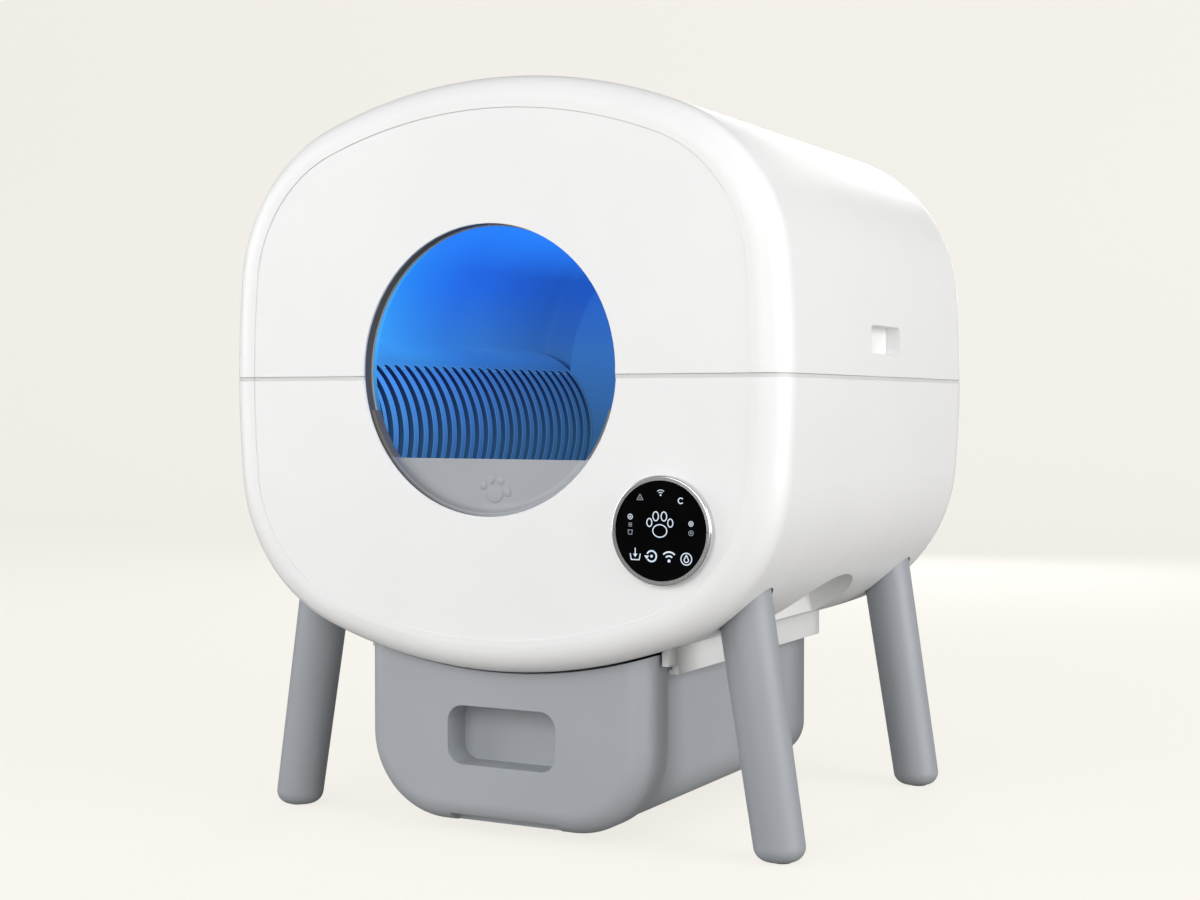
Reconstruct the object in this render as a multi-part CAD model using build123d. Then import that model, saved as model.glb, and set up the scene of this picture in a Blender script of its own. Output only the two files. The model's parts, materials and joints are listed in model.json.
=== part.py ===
from build123d import *
import math
import os

# A self-cleaning litter box: a rounded body on four splayed legs, a turning drum inside it,
# and a waste drawer that hangs under its belly.
# Lengths are in millimetres and angles in degrees. Seen from the front, X runs to the right,
# Y to the back and Z up. The origin lies on the floor under the middle of the object.

# Drum that holds the litter, lying along Y
DRUM_RADIUS = 203.0
DRUM_LENGTH = 424.0
DRUM_WALL = 3.0
DRUM_ROUNDING = 18.0
MOUTH_CLEARANCE = 3.0
MOUTH_LIP_REACH = 5.0
MOUTH_LIP_WALL = 3.0
REAR_BOSS_INSET = 43.0
REAR_BOSS_HEIGHT = 18.0
REAR_BOSS_TAPER = 10.0
REAR_BOSS_ROUNDING = 6.0
PORT_LENGTH = 150.0
PORT_WIDTH = 150.0
PORT_SETBACK = 98.0
PORT_ANGLE = 50.0
PORT_CORNER = 20.0

# Sieve, an arched plate with slots that separates clumps from litter
SIEVE_RADIUS = 88.0
SIEVE_WALL = 6.0
SIEVE_CENTRE_OUTSET = 12.7
SIEVE_ANGLE = 195.3
SIEVE_FRONT_GAP = 3.0
SIEVE_REAR_GAP = 1.0
SLOT_COUNT = 24
SLOT_WIDTH = 9.0
SLOT_ROUND_SHARE = 0.45
RIB_RECESS = 0.4
SLOT_MARGIN = 9.0
SLOT_TOP_ANGLE = 48.0
SLOT_BOTTOM_ANGLE = -46.0

# Body, a rounded box round the drum whose outline is drawn with eight tangent arcs
SIDE_ROOM = 72.3
TOP_ROOM = 48.8
BELLY_ROOM = 56.8
FRONT_ROOM = 22.0
REAR_ROOM = 44.0
BELLY_HEIGHT = 147.2
TOP_ARC_RADIUS = 474.0
SIDE_ARC_RADIUS = 985.0
CORNER_RADIUS = 157.0
FRONT_ROUNDING = 23.5
REAR_ROUNDING = 32.0
WALL = 3.0
CREASE_LAND = 6.0
FACE_RECESS = 0.8

# Seam between the lower shell and the lift-off cover
SEAM_DROP = 6.0
SEAM_BAND_HEIGHT = 3.4
SEAM_BAND_RECESS = 0.5
SEAM_TONGUE_WALL = 2.0
SEAM_TONGUE_REACH = 8.0
COVER_GAP = 0.3

# Finger grips in the sides of the cover
GRIP_LENGTH = 78.0
GRIP_HEIGHT = 25.0
GRIP_DEPTH = 14.0
GRIP_CORNER = 6.0
GRIP_RISE = 28.5
GRIP_SETBACK = 240.5

# Hand scoops under the sides of the body, between the legs
SCOOP_HALF_LENGTH = 77.0
SCOOP_HALF_HEIGHT = 45.0
SCOOP_RISE = 30.8
SCOOP_OUTSET = 22.0

# Entry in the front face
OPENING_INSET = 78.0
OPENING_CHAMFER = 1.5
RING_DEPTH = 14.0
RING_WALL = 12.0
RING_SCREW_ANGLES = (200.0, 235.0, 305.0, 340.0)
GUARD_DROP_SHARE = 0.608
GUARD_ARM_RISE = 42.0
GUARD_WALL = 3.5
GUARD_DEPTH = 12.0
GUARD_RIM_WALL = 3.0
GUARD_RIM_SETBACK = 5.0
GUARD_FILLET = 7.0
GUARD_FIT = 0.2
LAMP_SWEEP = 56.0
LAMP_HEIGHT = 9.0
LAMP_LENGTH = 5.0
LAMP_LENS_HEIGHT = 2.4
LAMP_INSET = 0.6
LAMP_FIT = 0.2

# Round display low on the right of the front face
DISPLAY_INSET = 105.8
DISPLAY_RISE = 128.3
BEZEL_RADIUS = 45.0
BEZEL_PROUD = 6.0
BEZEL_ROUNDING = 1.5
BEZEL_STEM = 12.0
BEZEL_STEM_WALL = 3.0
BEZEL_RIM_HEIGHT = 0.5
LENS_RADIUS = 40.8
LENS_THICKNESS = 2.5
LENS_FIT = 0.15
DISPLAY_HOLE_FIT = 0.2
BOARD_THICKNESS = 1.6
BOARD_FIT = 0.4

# Legs and feet
FOOT_INSET = 28.8
FRONT_LEG_SETBACK = 65.5
REAR_LEG_SETBACK = 67.5
LEG_SPLAY = 9.0
LEG_FOOT_RADIUS = 21.6
LEG_TOP_RADIUS = 23.8
LEG_RISE = 102.8
LEG_END_ROUNDING = 12.0
LEG_FIT = 1.2
SOCKET_WALL = 3.0
SOCKET_CAP = 4.0
PAD_RADIUS = 8.0
PAD_HEIGHT = 4.0
PAD_PROUD = 1.0
PAD_FIT = 0.1
LOAD_CELL_RADIUS = 16.0
LOAD_CELL_HEIGHT = 8.0
BOLT_RADIUS = 3.0
BOLT_GRIP = 20.0
BOLT_HEAD_RADIUS = 6.0
BOLT_HEAD_HEIGHT = 4.0

# Small screws, all of one kind
SCREW_RADIUS = 2.0
SCREW_HEAD_RADIUS = 3.6
SCREW_HEAD_HEIGHT = 2.4
SCREW_FIT = 0.1
SCREW_BITE = 6.0
HEX_SHARE = 0.55
HEX_DEPTH_SHARE = 0.6

# Waste drawer: a front panel and the bin behind it
PANEL_WIDTH = 282.0
PANEL_SETBACK = 26.0
PANEL_DEPTH = 42.0
PANEL_CORNER = 76.0
PANEL_EDGE = 20.0
PANEL_WALL = 3.0
DRAWER_LIFT = 9.0
DRAWER_GAP = 2.0
HANDLE_WIDTH = 108.5
HANDLE_HEIGHT = 52.0
HANDLE_DEPTH = 29.0
HANDLE_CORNER = 15.0
HANDLE_RISE = 79.0
NOTCH_WIDTH = 108.0
NOTCH_HEIGHT = 8.0
BIN_WIDTH = 256.0
BIN_LENGTH = 365.0
BIN_LIFT = 10.5
BIN_CORNER = 36.0
BIN_REAR_ROUNDING = 22.0
BIN_WALL = 2.5
BIN_FLANGE_REACH = 15.5
BIN_FLANGE_THICKNESS = 3.0
DRAWER_SCREW_INSET = 28.0
DRAWER_SCREW_RISE = 80.0
DRAWER_BOSS_RADIUS = 6.0

# Rails that carry the drawer
RAIL_WEB = 6.0
RAIL_LIP_REACH = 13.0
RAIL_LIP_THICKNESS = 4.0
RAIL_LIP_RISE = 4.8
RAIL_SIDE_PLAY = 0.5
RAIL_RUN_GAP = 0.3
RAIL_FRONT_SETBACK = 50.0
RAIL_LIP_SETBACK = 20.0
RAIL_STEP_HEIGHT = 9.0
RAIL_LENGTH = 350.0
RAIL_SCREW_COUNT = 3
RAIL_SCREW_CLEAR = 12.0
RAIL_BOSS_RADIUS = 6.0
RAIL_BOSS_HEIGHT = 7.0

# Chute from the drum to the bin
CHUTE_MARGIN = 10.0
CHUTE_WALL = 2.5
CHUTE_DRUM_GAP = 3.0

# Ring gear, pinion and motor
GEAR_MODULE = 4.0
GEAR_RIM = 16.0
GEAR_WIDTH = 12.0
GEAR_SETBACK = 116.0
GEAR_BACKLASH = 0.8
GEAR_ADDENDUM = 0.8
GEAR_DEDENDUM = 1.05
PRESSURE_ANGLE = 20.0
FLANGE_WIDTH = 4.0
FLANGE_REACH = 14.0
DRUM_SCREW_COUNT = 8
PINION_TEETH = 14
PINION_ANGLE = -45.0
PINION_FLANK_STEPS = 4
RING_FLANK_STEPS = 2
SHAFT_RADIUS = 4.0
SHAFT_NOSE = 2.0
SHAFT_BITE = 14.0
RUNNING_FIT = 0.05
MOTOR_RADIUS = 25.0
MOTOR_LENGTH = 38.0
MOTOR_PLATE = 3.0
MOTOR_PLATE_GAP = 3.0
MOTOR_PLATE_MARGIN = 3.0
MOTOR_PLATE_HOLE = 7.0
MOTOR_SCREW_RADIUS = 18.0
MOTOR_SCREW_COUNT = 4

# Rollers that carry the drum
ROLLER_RADIUS = 14.0
ROLLER_WIDTH = 16.0
ROLLER_SPREAD = 35.0
ROLLER_FRONT_SETBACK = 58.0
ROLLER_REAR_SETBACK = 61.0
ROLLER_GAP = 0.3
ROLLER_PLAY = 0.5
AXLE_RADIUS = 4.0
AXLE_HEAD_RADIUS = 6.0
AXLE_HEAD_WIDTH = 1.5
EAR_RADIUS = 10.0
EAR_WALL = 4.0
PEDESTAL_GAP = 5.0

# Control board and power inlet on the rear wall
BOARD_WIDTH = 140.0
BOARD_HEIGHT = 80.0
BOARD_STANDOFF = 7.0
BOARD_STANDOFF_RADIUS = 4.0
BOARD_HOLE_INSET = 7.0
BOARD_DROP = 120.0
BOARD_CHIPS = (
    (-40.0, 12.0, 34.0, 26.0, 10.0),
    (8.0, 16.0, 22.0, 22.0, 4.0),
    (44.0, -8.0, 24.0, 34.0, 12.0),
)
INLET_X = -110.0
INLET_DROP = 150.0
INLET_SIZE = 18.0
INLET_LENGTH = 20.0
INLET_FLANGE = 4.0
INLET_FLANGE_WALL = 2.0
INLET_BORE = 4.0
INLET_BORE_DEPTH = 12.0
INLET_PIN = 1.1
INLET_FIT = 0.2

# Reach of a cutting tool past the surface that it cuts
OVERCUT = 20.0

# Places worked out from the sizes above
HALF_WIDTH = DRUM_RADIUS + SIDE_ROOM
HALF_HEIGHT = DRUM_RADIUS + (TOP_ROOM + BELLY_ROOM) / 2
BODY_DEPTH = FRONT_ROOM + DRUM_LENGTH + REAR_ROOM
BODY_MID_Z = BELLY_HEIGHT + HALF_HEIGHT
DRUM_Z = BELLY_HEIGHT + BELLY_ROOM + DRUM_RADIUS
SEAM_Z = DRUM_Z - SEAM_DROP
FRONT_Y = (BEZEL_PROUD - BODY_DEPTH) / 2
REAR_Y = FRONT_Y + BODY_DEPTH
MID_Y = (FRONT_Y + REAR_Y) / 2
FACE_Y = FRONT_Y + FACE_RECESS
INNER_FRONT_Y = FRONT_Y + WALL
INNER_REAR_Y = REAR_Y - WALL
DRUM_FRONT_Y = FRONT_Y + FRONT_ROOM
DRUM_REAR_Y = DRUM_FRONT_Y + DRUM_LENGTH
DRUM_BORE = DRUM_RADIUS - DRUM_WALL
REAR_BOSS_RADIUS = DRUM_RADIUS - REAR_BOSS_INSET
OPENING_RADIUS = DRUM_RADIUS - OPENING_INSET
MOUTH_RADIUS = OPENING_RADIUS + MOUTH_CLEARANCE
GEAR_Y = DRUM_REAR_Y - GEAR_SETBACK
GEAR_END_Y = GEAR_Y + GEAR_WIDTH
RING_TEETH = math.ceil(2 * (DRUM_RADIUS + GEAR_RIM + GEAR_DEDENDUM * GEAR_MODULE) / GEAR_MODULE)
RING_PITCH_RADIUS = GEAR_MODULE * RING_TEETH / 2
PINION_PITCH_RADIUS = GEAR_MODULE * PINION_TEETH / 2
PINION_REACH = RING_PITCH_RADIUS + PINION_PITCH_RADIUS
PINION_X = PINION_REACH * math.cos(math.radians(PINION_ANGLE))
PINION_Z = DRUM_Z + PINION_REACH * math.sin(math.radians(PINION_ANGLE))
PLATE_Y = GEAR_END_Y + FLANGE_WIDTH + MOTOR_PLATE_GAP
MOTOR_Y = PLATE_Y + MOTOR_PLATE
ROLLER_REACH = DRUM_RADIUS + ROLLER_GAP + ROLLER_RADIUS
ROLLER_X = ROLLER_REACH * math.sin(math.radians(ROLLER_SPREAD))
ROLLER_Z = DRUM_Z - ROLLER_REACH * math.cos(math.radians(ROLLER_SPREAD))
ROLLER_ROWS = {"front": DRUM_FRONT_Y + ROLLER_FRONT_SETBACK, "rear": DRUM_REAR_Y - ROLLER_REAR_SETBACK}
PANEL_Y = FRONT_Y + PANEL_SETBACK
BIN_Y = PANEL_Y + PANEL_DEPTH
DRAWER_SCREW_X = BIN_WIDTH / 2 - DRAWER_SCREW_INSET
BIN_END_Y = BIN_Y + BIN_LENGTH
BIN_BOTTOM_Z = DRAWER_LIFT + BIN_LIFT
RAIL_LIP_Z = BELLY_HEIGHT + RAIL_LIP_RISE
RAIL_WEB_X = BIN_WIDTH / 2 + BIN_FLANGE_REACH + RAIL_SIDE_PLAY
RAIL_OUTER_X = RAIL_WEB_X + RAIL_WEB
CHUTE_Y = DRUM_FRONT_Y + PORT_SETBACK - CHUTE_MARGIN
CHUTE_LENGTH = PORT_LENGTH + 2 * CHUTE_MARGIN
CHUTE_WIDTH = PORT_WIDTH + 2 * CHUTE_MARGIN
SCOOP_X = RAIL_OUTER_X + SCOOP_OUTSET
SCOOP_Z = BELLY_HEIGHT + SCOOP_RISE
LEG_ROWS = {"front": FRONT_Y + FRONT_LEG_SETBACK, "rear": REAR_Y - REAR_LEG_SETBACK}
SIDES = {"left": -1, "right": 1}
LEG_LENGTH = (BELLY_HEIGHT + LEG_RISE) / math.cos(math.radians(LEG_SPLAY))
DISPLAY_X = HALF_WIDTH - DISPLAY_INSET
DISPLAY_Z = BELLY_HEIGHT + DISPLAY_RISE
BEZEL_Y = FRONT_Y - BEZEL_PROUD
LENS_Y = BEZEL_Y + BEZEL_RIM_HEIGHT
SIEVE_X = (DRUM_RADIUS + SIEVE_CENTRE_OUTSET) * math.cos(math.radians(SIEVE_ANGLE))
SIEVE_Z = DRUM_Z + (DRUM_RADIUS + SIEVE_CENTRE_OUTSET) * math.sin(math.radians(SIEVE_ANGLE))
SIEVE_Y = DRUM_FRONT_Y + DRUM_WALL + SIEVE_FRONT_GAP
SIEVE_END_Y = DRUM_REAR_Y - DRUM_WALL - REAR_BOSS_HEIGHT - SIEVE_REAR_GAP
BOARD_Z = DRUM_Z - BOARD_DROP
BOARD_Y = INNER_REAR_Y - BOARD_STANDOFF
INLET_Z = DRUM_Z - INLET_DROP
FROM_BASE = (Align.CENTER, Align.CENTER, Align.MIN)
FROM_TOP = (Align.CENTER, Align.CENTER, Align.MAX)


def front_plane(y):
    """A plane that faces the viewer at depth y, with its own y axis pointing up."""
    return Plane(origin=(0, y, 0), x_dir=(1, 0, 0), z_dir=(0, -1, 0))


def slab(sketch, y_front, y_rear):
    """A shape drawn in front view, made solid from y_front back to y_rear."""
    return extrude(front_plane(y_front) * sketch, amount=y_front - y_rear)


def rod(radius, y_front, y_rear, x=0.0, z=DRUM_Z):
    """A round bar along Y, by default on the drum's axis."""
    return slab(Pos(x, z) * Circle(radius), y_front, y_rear)


def tube(outer, inner, y_front, y_rear, x=0.0, z=DRUM_Z):
    """A round tube along Y, by default on the drum's axis."""
    return slab(Pos(x, z) * (Circle(outer) - Circle(inner)), y_front, y_rear)


def cuboid(low, high):
    """A box between two opposite corners."""
    size = [b - a for a, b in zip(low, high)]
    middle = [(a + b) / 2 for a, b in zip(low, high)]
    return Pos(*middle) * Box(*size)


def around(x, z, radius, angles):
    """Places on a circle in front view, at angles in radians."""
    return [(x + radius * math.cos(angle), z + radius * math.sin(angle)) for angle in angles]


def on_both_sides(make):
    """The solids that make(side) gives for the left (-1) and the right (+1)."""
    return [make(side) for side in SIDES.values()]


def screw(
    plane,
    shank_length,
    radius=SCREW_RADIUS,
    head_radius=SCREW_HEAD_RADIUS,
    head_height=SCREW_HEAD_HEIGHT,
):
    """A socket-head screw whose head stands on the plane and whose shank runs down through it."""
    head = Cylinder(head_radius, head_height, align=FROM_BASE)
    shank = Cylinder(radius, shank_length, align=FROM_TOP)
    hexagon = extrude(RegularPolygon(head_radius * HEX_SHARE, 6), amount=head_height * HEX_DEPTH_SHARE)
    socket = Pos(0, 0, head_height * (1 - HEX_DEPTH_SHARE)) * hexagon
    return plane * (head + shank - socket)


def screw_hole(plane, depth, radius=SCREW_RADIUS):
    """The clearance hole for the shank of such a screw."""
    return plane * Cylinder(radius + SCREW_FIT, depth, align=FROM_TOP)


def sector(inner, outer, start, sweep):
    """A piece of a flat ring between two radii, from a start angle through a sweep."""
    outside = CenterArc((0, 0), outer, start, sweep)
    inside = CenterArc((0, 0), inner, start, sweep)
    return make_face([outside, Line(outside @ 1, inside @ 1), inside, Line(inside @ 0, outside @ 0)])


def rounded_bottom(half_width, bottom, top, corner):
    """A front-view shape with square top corners and round bottom corners."""
    block = Pos(0, (bottom + top) / 2) * Rectangle(2 * half_width, top - bottom)
    lower = block.vertices().sort_by(Axis.Y)[:2]
    return fillet(lower, corner)


# Body outline and shells

def outline(inset):
    """The body's front outline, moved inwards by an inset: four flat arcs and four corner arcs."""
    top_centre = HALF_HEIGHT - TOP_ARC_RADIUS
    side_centre = HALF_WIDTH - SIDE_ARC_RADIUS
    to_top = TOP_ARC_RADIUS - CORNER_RADIUS
    to_side = SIDE_ARC_RADIUS - CORNER_RADIUS
    span = math.hypot(side_centre, top_centre)
    along = (to_top**2 - to_side**2 + span**2) / (2 * span)
    across = math.sqrt(to_top**2 - along**2)
    unit_x = side_centre / span
    unit_y = -top_centre / span
    corner_x = along * unit_x + across * unit_y
    corner_y = top_centre + along * unit_y - across * unit_x
    side_half = math.degrees(math.atan2(corner_y, corner_x - side_centre))
    top_half = math.degrees(math.atan2(corner_x, corner_y - top_centre))
    corner_sweep = 90.0 - side_half - top_half
    top_radius = TOP_ARC_RADIUS - inset
    side_radius = SIDE_ARC_RADIUS - inset
    corner_radius = CORNER_RADIUS - inset
    arcs = [
        CenterArc((side_centre, 0), side_radius, -side_half, 2 * side_half),
        CenterArc((corner_x, corner_y), corner_radius, side_half, corner_sweep),
        CenterArc((0, top_centre), top_radius, 90 - top_half, 2 * top_half),
        CenterArc((-corner_x, corner_y), corner_radius, 90 + top_half, corner_sweep),
        CenterArc((-side_centre, 0), side_radius, 180 - side_half, 2 * side_half),
        CenterArc((-corner_x, -corner_y), corner_radius, 180 + side_half, corner_sweep),
        CenterArc((0, -top_centre), top_radius, 270 - top_half, 2 * top_half),
        CenterArc((corner_x, -corner_y), corner_radius, 270 + top_half, corner_sweep),
    ]
    return Pos(0, BODY_MID_Z) * make_face(arcs)


def body_solid(inset):
    """The whole body as one solid, every face moved inwards by an inset."""
    block = slab(outline(inset), FRONT_Y + inset, REAR_Y - inset)
    front_edges = block.faces().sort_by(Axis.Y)[0].edges()
    block = fillet(front_edges, FRONT_ROUNDING - inset)
    rear_edges = block.faces().sort_by(Axis.Y)[-1].edges()
    return fillet(rear_edges, REAR_ROUNDING - inset)


def face_recess(depth):
    """The thin slice that sets the front face back inside its crease."""
    return slab(outline(FRONT_ROUNDING + CREASE_LAND), FRONT_Y - OVERCUT, FRONT_Y + depth)


def scoops(grow):
    """The two hand scoops under the body's sides, made larger by a wall where they are lined."""
    half_length = SCOOP_HALF_LENGTH + grow
    arch = Ellipse(half_length, SCOOP_HALF_HEIGHT + grow)
    below = Pos(0, -BELLY_HEIGHT / 2) * Rectangle(2 * half_length, BELLY_HEIGHT)
    length = HALF_WIDTH - SCOOP_X + grow + OVERCUT

    def one_side(side):
        inner = (side * (SCOOP_X - grow), MID_Y, SCOOP_Z)
        start = Plane(origin=inner, x_dir=(0, side, 0), z_dir=(side, 0, 0))
        return extrude(start * (arch + below), amount=length)

    return on_both_sides(one_side)


BODY_OUTER = body_solid(0) - face_recess(FACE_RECESS) - scoops(0)
BODY_INNER = body_solid(WALL) - scoops(WALL)


def below_seam(shape):
    """The part of a shape under the seam's band."""
    high = SEAM_Z - SEAM_BAND_HEIGHT / 2
    return shape & cuboid((-2 * HALF_WIDTH, 2 * FRONT_Y, -OVERCUT), (2 * HALF_WIDTH, 2 * REAR_Y, high))


def above_seam(shape):
    """The part of a shape over the seam's band."""
    low = SEAM_Z + SEAM_BAND_HEIGHT / 2
    high = BELLY_HEIGHT + 2 * HALF_HEIGHT + OVERCUT
    return shape & cuboid((-2 * HALF_WIDTH, 2 * FRONT_Y, low), (2 * HALF_WIDTH, 2 * REAR_Y, high))


def opening_hole():
    """The round way in through the front face."""
    return rod(OPENING_RADIUS, FRONT_Y - OVERCUT, INNER_FRONT_Y)


def opening_chamfer():
    """The cone that breaks the outer edge of the way in."""
    mouth = Plane(origin=(0, FACE_Y, DRUM_Z), x_dir=(1, 0, 0), z_dir=(0, 1, 0))
    return mouth * Cone(OPENING_RADIUS + OPENING_CHAMFER, OPENING_RADIUS, OPENING_CHAMFER, align=FROM_BASE)


def leg_plane(side, row, distance=0.0):
    """A plane square to a leg, at a distance up the leg from the floor."""
    lean = math.radians(LEG_SPLAY)
    up = Vector(-side * math.sin(lean), 0, math.cos(lean))
    foot = Vector(side * (HALF_WIDTH - FOOT_INSET), LEG_ROWS[row], 0)
    return Plane(origin=foot + up * distance, x_dir=(0, 1, 0), z_dir=up)


def leg_places():
    """Every leg as a side and a row."""
    return [(side, row) for row in LEG_ROWS for side in SIDES.values()]


def leg_socket(side, row):
    """The closed tube inside the body that a leg's top stands in."""
    height = LEG_LENGTH + LOAD_CELL_HEIGHT + SOCKET_CAP
    return leg_plane(side, row) * Cylinder(LEG_TOP_RADIUS + LEG_FIT + SOCKET_WALL, height, align=FROM_BASE)


def leg_hole(side, row):
    """The room for a leg and its load cell in the socket."""
    height = LEG_LENGTH + LOAD_CELL_HEIGHT
    return leg_plane(side, row) * Cylinder(LEG_TOP_RADIUS + LEG_FIT, height, align=FROM_BASE)


def bolt_plane(side, row):
    """Where a leg bolt's head sits, on top of the socket's cap."""
    return leg_plane(side, row, LEG_LENGTH + LOAD_CELL_HEIGHT + SOCKET_CAP)


def bolt_hole(side, row):
    """The clearance hole for a leg bolt."""
    depth = SOCKET_CAP + LOAD_CELL_HEIGHT + BOLT_GRIP + SCREW_FIT
    return screw_hole(bolt_plane(side, row), depth, BOLT_RADIUS)


def rail_screw_planes():
    """Where the rail screws' heads sit inside the body, over the rails' webs."""
    start = ROLLER_ROWS["front"] + bracket_half() + RAIL_SCREW_CLEAR
    pitch = (PLATE_Y - RAIL_SCREW_CLEAR - start) / (RAIL_SCREW_COUNT - 1)
    x = RAIL_WEB_X + RAIL_WEB / 2
    height = belly_z(x) + WALL + RAIL_BOSS_HEIGHT
    return [
        Plane(origin=(side * x, start + index * pitch, height))
        for side in SIDES.values()
        for index in range(RAIL_SCREW_COUNT)
    ]


def belly_z(x):
    """The height of the body's underside at a distance x from the middle."""
    probe = cuboid((x - WALL / 2, MID_Y - WALL / 2, 0), (x + WALL / 2, MID_Y + WALL / 2, BODY_MID_Z))
    touched = probe & BODY_OUTER
    return touched.bounding_box().min.Z


def ring_screw_planes():
    """Where the entry ring's screws sit, on its rear face and pointing forwards."""
    radius = OPENING_RADIUS + RING_WALL / 2
    angles = [math.radians(angle) for angle in RING_SCREW_ANGLES]
    places = around(0.0, DRUM_Z, radius, angles)
    return [Plane(origin=(x, FRONT_Y + RING_DEPTH, z), z_dir=(0, 1, 0)) for x, z in places]


def board_screw_planes():
    """Where the control board's screws sit, on the face that looks into the body."""
    half_width = BOARD_WIDTH / 2 - BOARD_HOLE_INSET
    half_height = BOARD_HEIGHT / 2 - BOARD_HOLE_INSET
    front = BOARD_Y - BOARD_THICKNESS
    return [
        Plane(origin=(x, front, BOARD_Z + z), z_dir=(0, -1, 0))
        for x in (-half_width, half_width)
        for z in (-half_height, half_height)
    ]


def lower_shell():
    """The lower half of the body, with leg sockets, standoffs and the way through its belly."""
    shell = below_seam(BODY_OUTER - BODY_INNER) - opening_hole() - opening_chamfer()
    for side, row in leg_places():
        shell = shell + (leg_socket(side, row) & BODY_INNER)
    for plane in rail_screw_planes():
        boss = plane * Cylinder(RAIL_BOSS_RADIUS, RAIL_BOSS_HEIGHT + 2 * WALL, align=FROM_TOP)
        shell = shell + (boss & BODY_INNER)
    for plane in board_screw_planes():
        shell = shell + rod(BOARD_STANDOFF_RADIUS, BOARD_Y, INNER_REAR_Y, plane.origin.X, plane.origin.Z)
    for side, row in leg_places():
        shell = shell - leg_hole(side, row) - bolt_hole(side, row)
    for plane in rail_screw_planes():
        shell = shell - screw_hole(plane, RAIL_BOSS_HEIGHT + OVERCUT)
    for plane in board_screw_planes():
        shell = shell - screw_hole(plane, BOARD_THICKNESS + SCREW_BITE)
    for plane in ring_screw_planes():
        shell = shell - screw_hole(plane, RING_DEPTH - FACE_RECESS - WALL / 2)
    shell = shell - rod(bezel_stem_radius() + DISPLAY_HOLE_FIT, FRONT_Y, INNER_FRONT_Y, DISPLAY_X, DISPLAY_Z)
    shell = shell - chute_block(CHUTE_WALL)
    return shell - inlet_block(INLET_FIT, INNER_REAR_Y, REAR_Y)


def grip_block(grow, outer_x):
    """The rounded block of a finger grip on the right, made larger by a wall where it is lined."""
    shape = RectangleRounded(GRIP_LENGTH + 2 * grow, GRIP_HEIGHT + 2 * grow, GRIP_CORNER + grow)
    inner_x = HALF_WIDTH - GRIP_DEPTH - grow
    inner = (inner_x, FRONT_Y + GRIP_SETBACK, DRUM_Z + GRIP_RISE)
    start = Plane(origin=inner, x_dir=(0, 1, 0), z_dir=(1, 0, 0))
    return extrude(start * shape, amount=outer_x - inner_x)


def upper_shell():
    """The lift-off cover, with a finger grip in each side."""
    shell = above_seam(BODY_OUTER - BODY_INNER) - opening_hole()
    lining = grip_block(WALL, HALF_WIDTH) & BODY_OUTER
    pocket = grip_block(0, HALF_WIDTH + OVERCUT)
    shell = shell + lining + mirror(lining, Plane.YZ)
    return shell - pocket - mirror(pocket, Plane.YZ)


def seam_band():
    """The recessed band that closes the seam, with a tongue that guides the cover on."""
    low = SEAM_Z - SEAM_BAND_HEIGHT / 2
    high = SEAM_Z + SEAM_BAND_HEIGHT / 2 - COVER_GAP
    inner = WALL + COVER_GAP + SEAM_TONGUE_WALL
    band = body_solid(SEAM_BAND_RECESS) - body_solid(inner) - face_recess(FACE_RECESS + SEAM_BAND_RECESS)
    tongue = body_solid(WALL + COVER_GAP) - body_solid(inner)
    wide = 2 * HALF_WIDTH
    band = band & cuboid((-wide, 2 * FRONT_Y, low), (wide, 2 * REAR_Y, high))
    tongue_low = SEAM_Z - SEAM_TONGUE_REACH
    tongue_high = SEAM_Z + SEAM_TONGUE_REACH
    tongue = tongue & cuboid((-wide, 2 * FRONT_Y, tongue_low), (wide, 2 * REAR_Y, tongue_high))
    ring_room = rod(OPENING_RADIUS + RING_WALL + COVER_GAP, INNER_FRONT_Y, FRONT_Y + RING_DEPTH + OVERCUT)
    return band + tongue - opening_hole() - ring_room


# Legs and feet

def leg(side, row):
    """A tapered round leg, cut level at the floor with a rounded end."""
    below = OVERCUT
    taper = (LEG_TOP_RADIUS - LEG_FOOT_RADIUS) / LEG_LENGTH
    blank = Cone(LEG_FOOT_RADIUS - taper * below, LEG_TOP_RADIUS, LEG_LENGTH + below, align=FROM_BASE)
    shape = leg_plane(side, row, -below) * blank
    floor = cuboid((-2 * HALF_WIDTH, 2 * FRONT_Y, -2 * below), (2 * HALF_WIDTH, 2 * REAR_Y, PAD_PROUD))
    shape = shape - floor
    end = shape.faces().sort_by(Axis.Z)[0].edges()
    shape = fillet(end, LEG_END_ROUNDING)
    pad_room = Cylinder(PAD_RADIUS + PAD_FIT, PAD_HEIGHT, align=FROM_BASE)
    return shape - pad_place(side, row) * pad_room - bolt_hole(side, row)


def pad_place(side, row):
    """Where a foot pad's underside meets the floor."""
    return Pos(side * (HALF_WIDTH - FOOT_INSET), LEG_ROWS[row], 0)


def foot_pads():
    """Four rubber discs that the object stands on."""
    pad = Cylinder(PAD_RADIUS, PAD_HEIGHT, align=FROM_BASE)
    return Compound([pad_place(*place) * pad for place in leg_places()])


def weight_sensors():
    """Four ring load cells between the legs and their sockets' caps."""
    ring = Cylinder(LOAD_CELL_RADIUS, LOAD_CELL_HEIGHT, align=FROM_BASE)
    return Compound([leg_plane(*place, LEG_LENGTH) * ring - bolt_hole(*place) for place in leg_places()])


def leg_bolts():
    """The bolts that hold the legs, from inside the body."""
    shank = SOCKET_CAP + LOAD_CELL_HEIGHT + BOLT_GRIP
    return Compound(
        [screw(bolt_plane(*p), shank, BOLT_RADIUS, BOLT_HEAD_RADIUS, BOLT_HEAD_HEIGHT) for p in leg_places()]
    )


# Entry ring, litter guard and lamp

def lamp_start():
    """The angle at which the lamp's arc starts, centred on the top of the ring."""
    return 90.0 - LAMP_SWEEP / 2


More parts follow.
